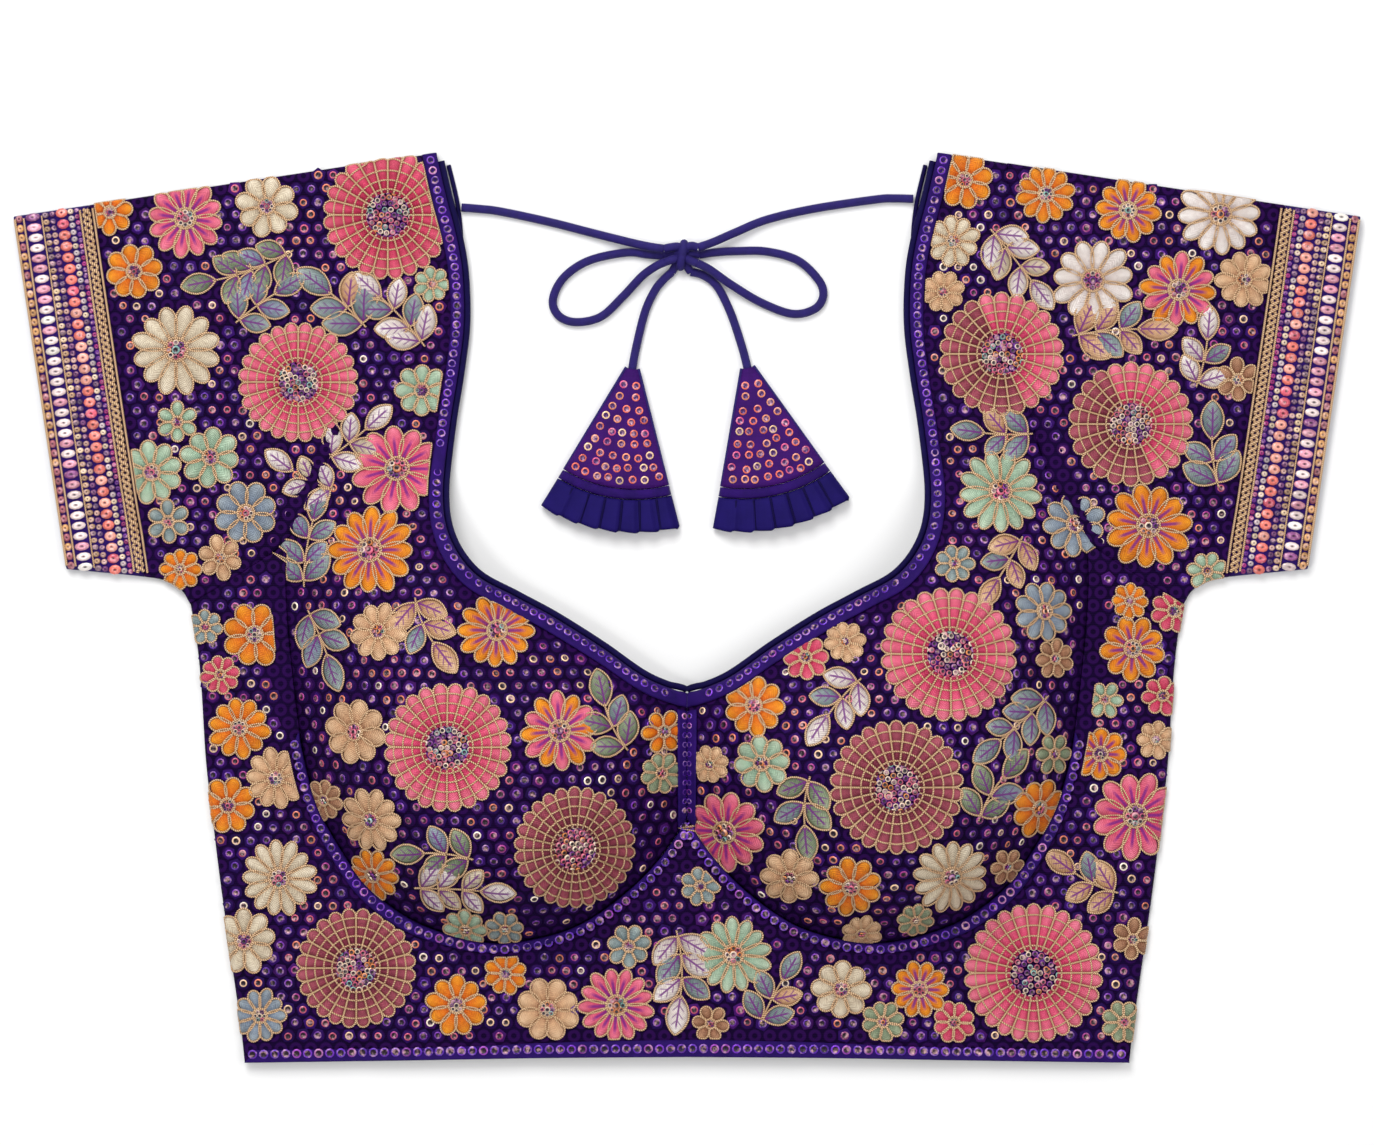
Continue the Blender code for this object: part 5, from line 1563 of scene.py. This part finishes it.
FOLDS, LATKAN_WALL = 7, 1.2
latkan_pieces = {}
for name, (centre, swing) in LATKANS.items():
    made = []
    for part, (inner, outer), rows, columns, cloth in (
        ("cone", CONE, 26, 29, latkan_cloth), ("braid", BRAID, 5, 57, band_cloth),
        ("frill", FRILL, 9, FOLDS * 10 + 1, frill_cloth),
    ):
        radius, turn = np.meshgrid(
            np.linspace(inner, outer, rows), np.linspace(-HALF_ANGLE, HALF_ANGLE, columns), indexing="ij",
        )
        top = latkan_top(radius, turn)
        if part == "frill":
            pleat = (turn / HALF_ANGLE + 1) / 2 * FOLDS % 1
            down = (radius - inner) / (outer - inner)
            step = np.clip(pleat / 0.9, 0, 1) * np.clip((1 - pleat) / 0.1, 0, 1)
            top = top - 0.9 + (0.5 + 1.7 * down) * step
            radius = radius + 0.8 * down * (step - 1)
        if part == "braid":
            top = top + 0.45 * np.sin(math.pi * (radius - inner) / (outer - inner))
            top = top + 0.2 * np.sin(turn / HALF_ANGLE * 70)
        plan = latkan_plan(centre, swing, radius, turn)
        piece = flat_tube(f"latkan_{name}_{part}_cloth", plan, top, LATKAN_WALL, cloth)
        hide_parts(f"latkan_{name}_{part}")
        made.append(piece)
    latkan_pieces[name] = made
    print(name, "latkan:", [piece.name for piece in made])

# %% Copper rings, edging and painted fold shadows of the latkans
COPPER = [
    (4, linear(236, 110, 84)), (2, linear(244, 150, 110)), (1.4, linear(214, 84, 132)), (0.6, linear(250, 206, 160)),
]
RING_ROWS, RING_PITCH, EDGING_RADIUS, SHADOW_RADIUS = np.arange(14.0, 55.0, 4.9), 5.3, 0.7, 0.5
for name, (centre, swing) in LATKANS.items():
    places = []
    for radius in RING_ROWS:
        count = max(1, int(2 * HALF_ANGLE * radius / RING_PITCH))
        for share in (np.arange(count) + 0.5) / count * 2 - 1:
            out = radius + random.uniform(-0.7, 0.7)
            places.append((out, share * HALF_ANGLE * 0.92 + random.uniform(-0.02, 0.02)))
    radius, turn = np.array(places).T
    where = np.column_stack([latkan_plan(centre, swing, radius, turn), latkan_top(radius, turn) - 0.35])
    tint = ring_tints(chosen(len(where), COPPER), linear(60, 16, 90), 4, ROSETTE_SIDES, 2)
    rings = add_piece(
        f"latkan_{name}_rings", where[:, None] + SEQUIN[0] * 0.98, copies_of(SEQUIN[1], len(where), len(SEQUIN[0])),
        sequins, tint=tint,
    )
    radius = np.linspace(*CONE, 40)
    edges = []
    for way in (-1, 1):
        turn = np.full(40, way * (HALF_ANGLE - 0.01))
        line = np.column_stack([latkan_plan(centre, swing, radius, turn), latkan_top(radius, turn) / 2 + 0.7])
        edges.append((line[None], EDGING_RADIUS))
    # Painted shadow: thin navy tubes along the frill's folds stand for the shade where one pleat falls over the next.
    fold = (np.arange(1, FOLDS) / FOLDS * 2 - 1)[:, None] * HALF_ANGLE + 0.008
    radius = np.linspace(FRILL[0] + 0.6, FRILL[1] - 0.9, 12)[None]
    line = np.dstack([latkan_plan(centre, swing, radius, fold), latkan_top(radius, fold) - 0.6])
    shadow_tubes = tube_set(f"latkan_{name}_fold_shadows", [(line, SHADOW_RADIUS)], 6, 3.1, piping_cloth)
    edging = tube_set(f"latkan_{name}_edging", edges, 8, 4.4, dori_cloth)
    for piece in (rings, edging, shadow_tubes):
        sewn_on(piece)
        latkan_pieces[name].append(piece)
    print(name, len(where), "copper rings")

# %% [markdown]
# ## The cords
# Each stretch of the dori is a free, limp cord. The leads and loops end in the knot, and each tail carries its latkan.
# Here the length of each stretch is printed.

# %% Lengths of the cords
for key, piece in dori.items():
    side, stretch = key.split("_")
    route = dori_path[key]
    length = run_of(route)[-1] * MM
    tuple((route[0] * MM).tolist())
    "fitting" if stretch == "tail" else "knot"
    (route * MM).tolist()
    latkan_pieces[side] if stretch == "tail" else [knot] if stretch == "lead" else ()
    print(key, "declared,", round(1000 * length), "mm")

# %% [markdown]
# ## What lies underneath
# The back is cut in two halves with a deep neck, so it can't be seen from above. It keeps its plain solids, in the
# same net, and its neck has the same piping as the front. The closing down its middle is a tape with four hooks.

# %% Back, tape and hooks
BACK_NECK = [
    (99.6, 187.0), (95.3, 168.2), (93.7, 150.0), (93.9, 124.0), (95.6, 98.0), (99.5, 73.0), (102.6, 48.0),
    (103.0, 20.0), (100.0, -10.0), (92.0, -45.0), (75.0, -78.0), (50.0, -97.0), (25.0, -104.0), (0.0, -106.0),
]
back_neck_curve = smooth(BACK_NECK)
for side, name in SIDES:
    line = at_least(along(back_neck_curve, np.linspace(2.0, run_of(back_neck_curve)[-1], 150), -0.95), 0.15)
    route = np.column_stack([line, np.full(len(line), 1.0)]) * (side, 1, 1)
    made, _ = cord_piece(f"back_piping_{name}_cord", route, 0.95, piping_cloth, sides=8)
    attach(made, "root")
    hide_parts(f"back_piping_{name}")
tape_cloth, s, shader = new_material("hook_tape", 0.8)
place = place_in_mm(s)
twill = (place.part(0) + place.part(1)).wave(0.8)
colour = (twill * 0.6 + noise(s, place, 5.0) * 0.4).blend(linear(18, 10, 60), linear(44, 30, 104))
finish_material(s, shader, colour, None, twill, 0.15)
hook_wire, s, shader = new_material("hook_wire", 0.3, 1.0)
worn = noise(s, place_in_mm(s), 1.5)
finish_material(s, shader, worn.blend(linear(150, 150, 156), linear(206, 206, 212)), 0.25 + 0.25 * worn)
UNDER = {"back_left": net_cloth, "back_right": net_cloth, "back_placket": tape_cloth}
UNDER |= {f"back_hook_{k}": hook_wire for k in range(1, 5)}
for node, material in UNDER.items():
    bpy.data.objects[node].data.materials.clear()
    bpy.data.objects[node].data.materials.append(material)
print("underneath:", sorted(UNDER))

# %% [markdown]
# ## Floor and light
# The blouse lies on a plain pale table. A broad soft light from above its neck models the cups, a weaker one fills
# from the side, a small one makes the sequins sparkle, and a pale sky keeps the shadows open.

# %% Floor, lights and sky
floor_paint, s, shader = new_material("pale_table", 0.85)
soft = noise(s, place_in_mm(s), 60.0)
finish_material(s, shader, soft.blend(linear(247, 247, 247), linear(250, 250, 250)))
floor = add_piece(
    "table_top", np.array([(-1500, -1500, 0), (1500, -1500, 0), (1500, 1500, 0), (-1500, 1500, 0)], float),
    np.array([[0, 1, 2, 3]]), floor_paint,
)
for name, place, size, power in (
    ("neck_light", (-0.35, 0.95, 1.25), 0.8, 15.0), ("side_light", (0.9, 0.1, 1.3), 0.8, 4.0),
    ("sparkle_light", (-0.6, -0.2, 1.4), 0.25, 3.0),
):
    lamp = bpy.data.lights.new(name, "AREA")
    lamp.size, lamp.energy = size, power
    light = bpy.data.objects.new(name, lamp)
    light.location = place
    aim = np.array([0.0, 0.0, 0.0]) - place
    light.rotation_euler = (math.acos(-aim[2] / np.linalg.norm(aim)), 0.0, math.atan2(aim[1], aim[0]) - math.pi / 2)
    bpy.context.scene.collection.objects.link(light)
sky = bpy.data.worlds.new("pale_sky")
sky.use_nodes = True
sky.node_tree.nodes["Background"].inputs[0].default_value = (1.0, 1.0, 1.0, 1.0)
sky.node_tree.nodes["Background"].inputs[1].default_value = 0.55
bpy.context.scene.world = sky
bpy.context.scene.view_settings.view_transform = "Standard"
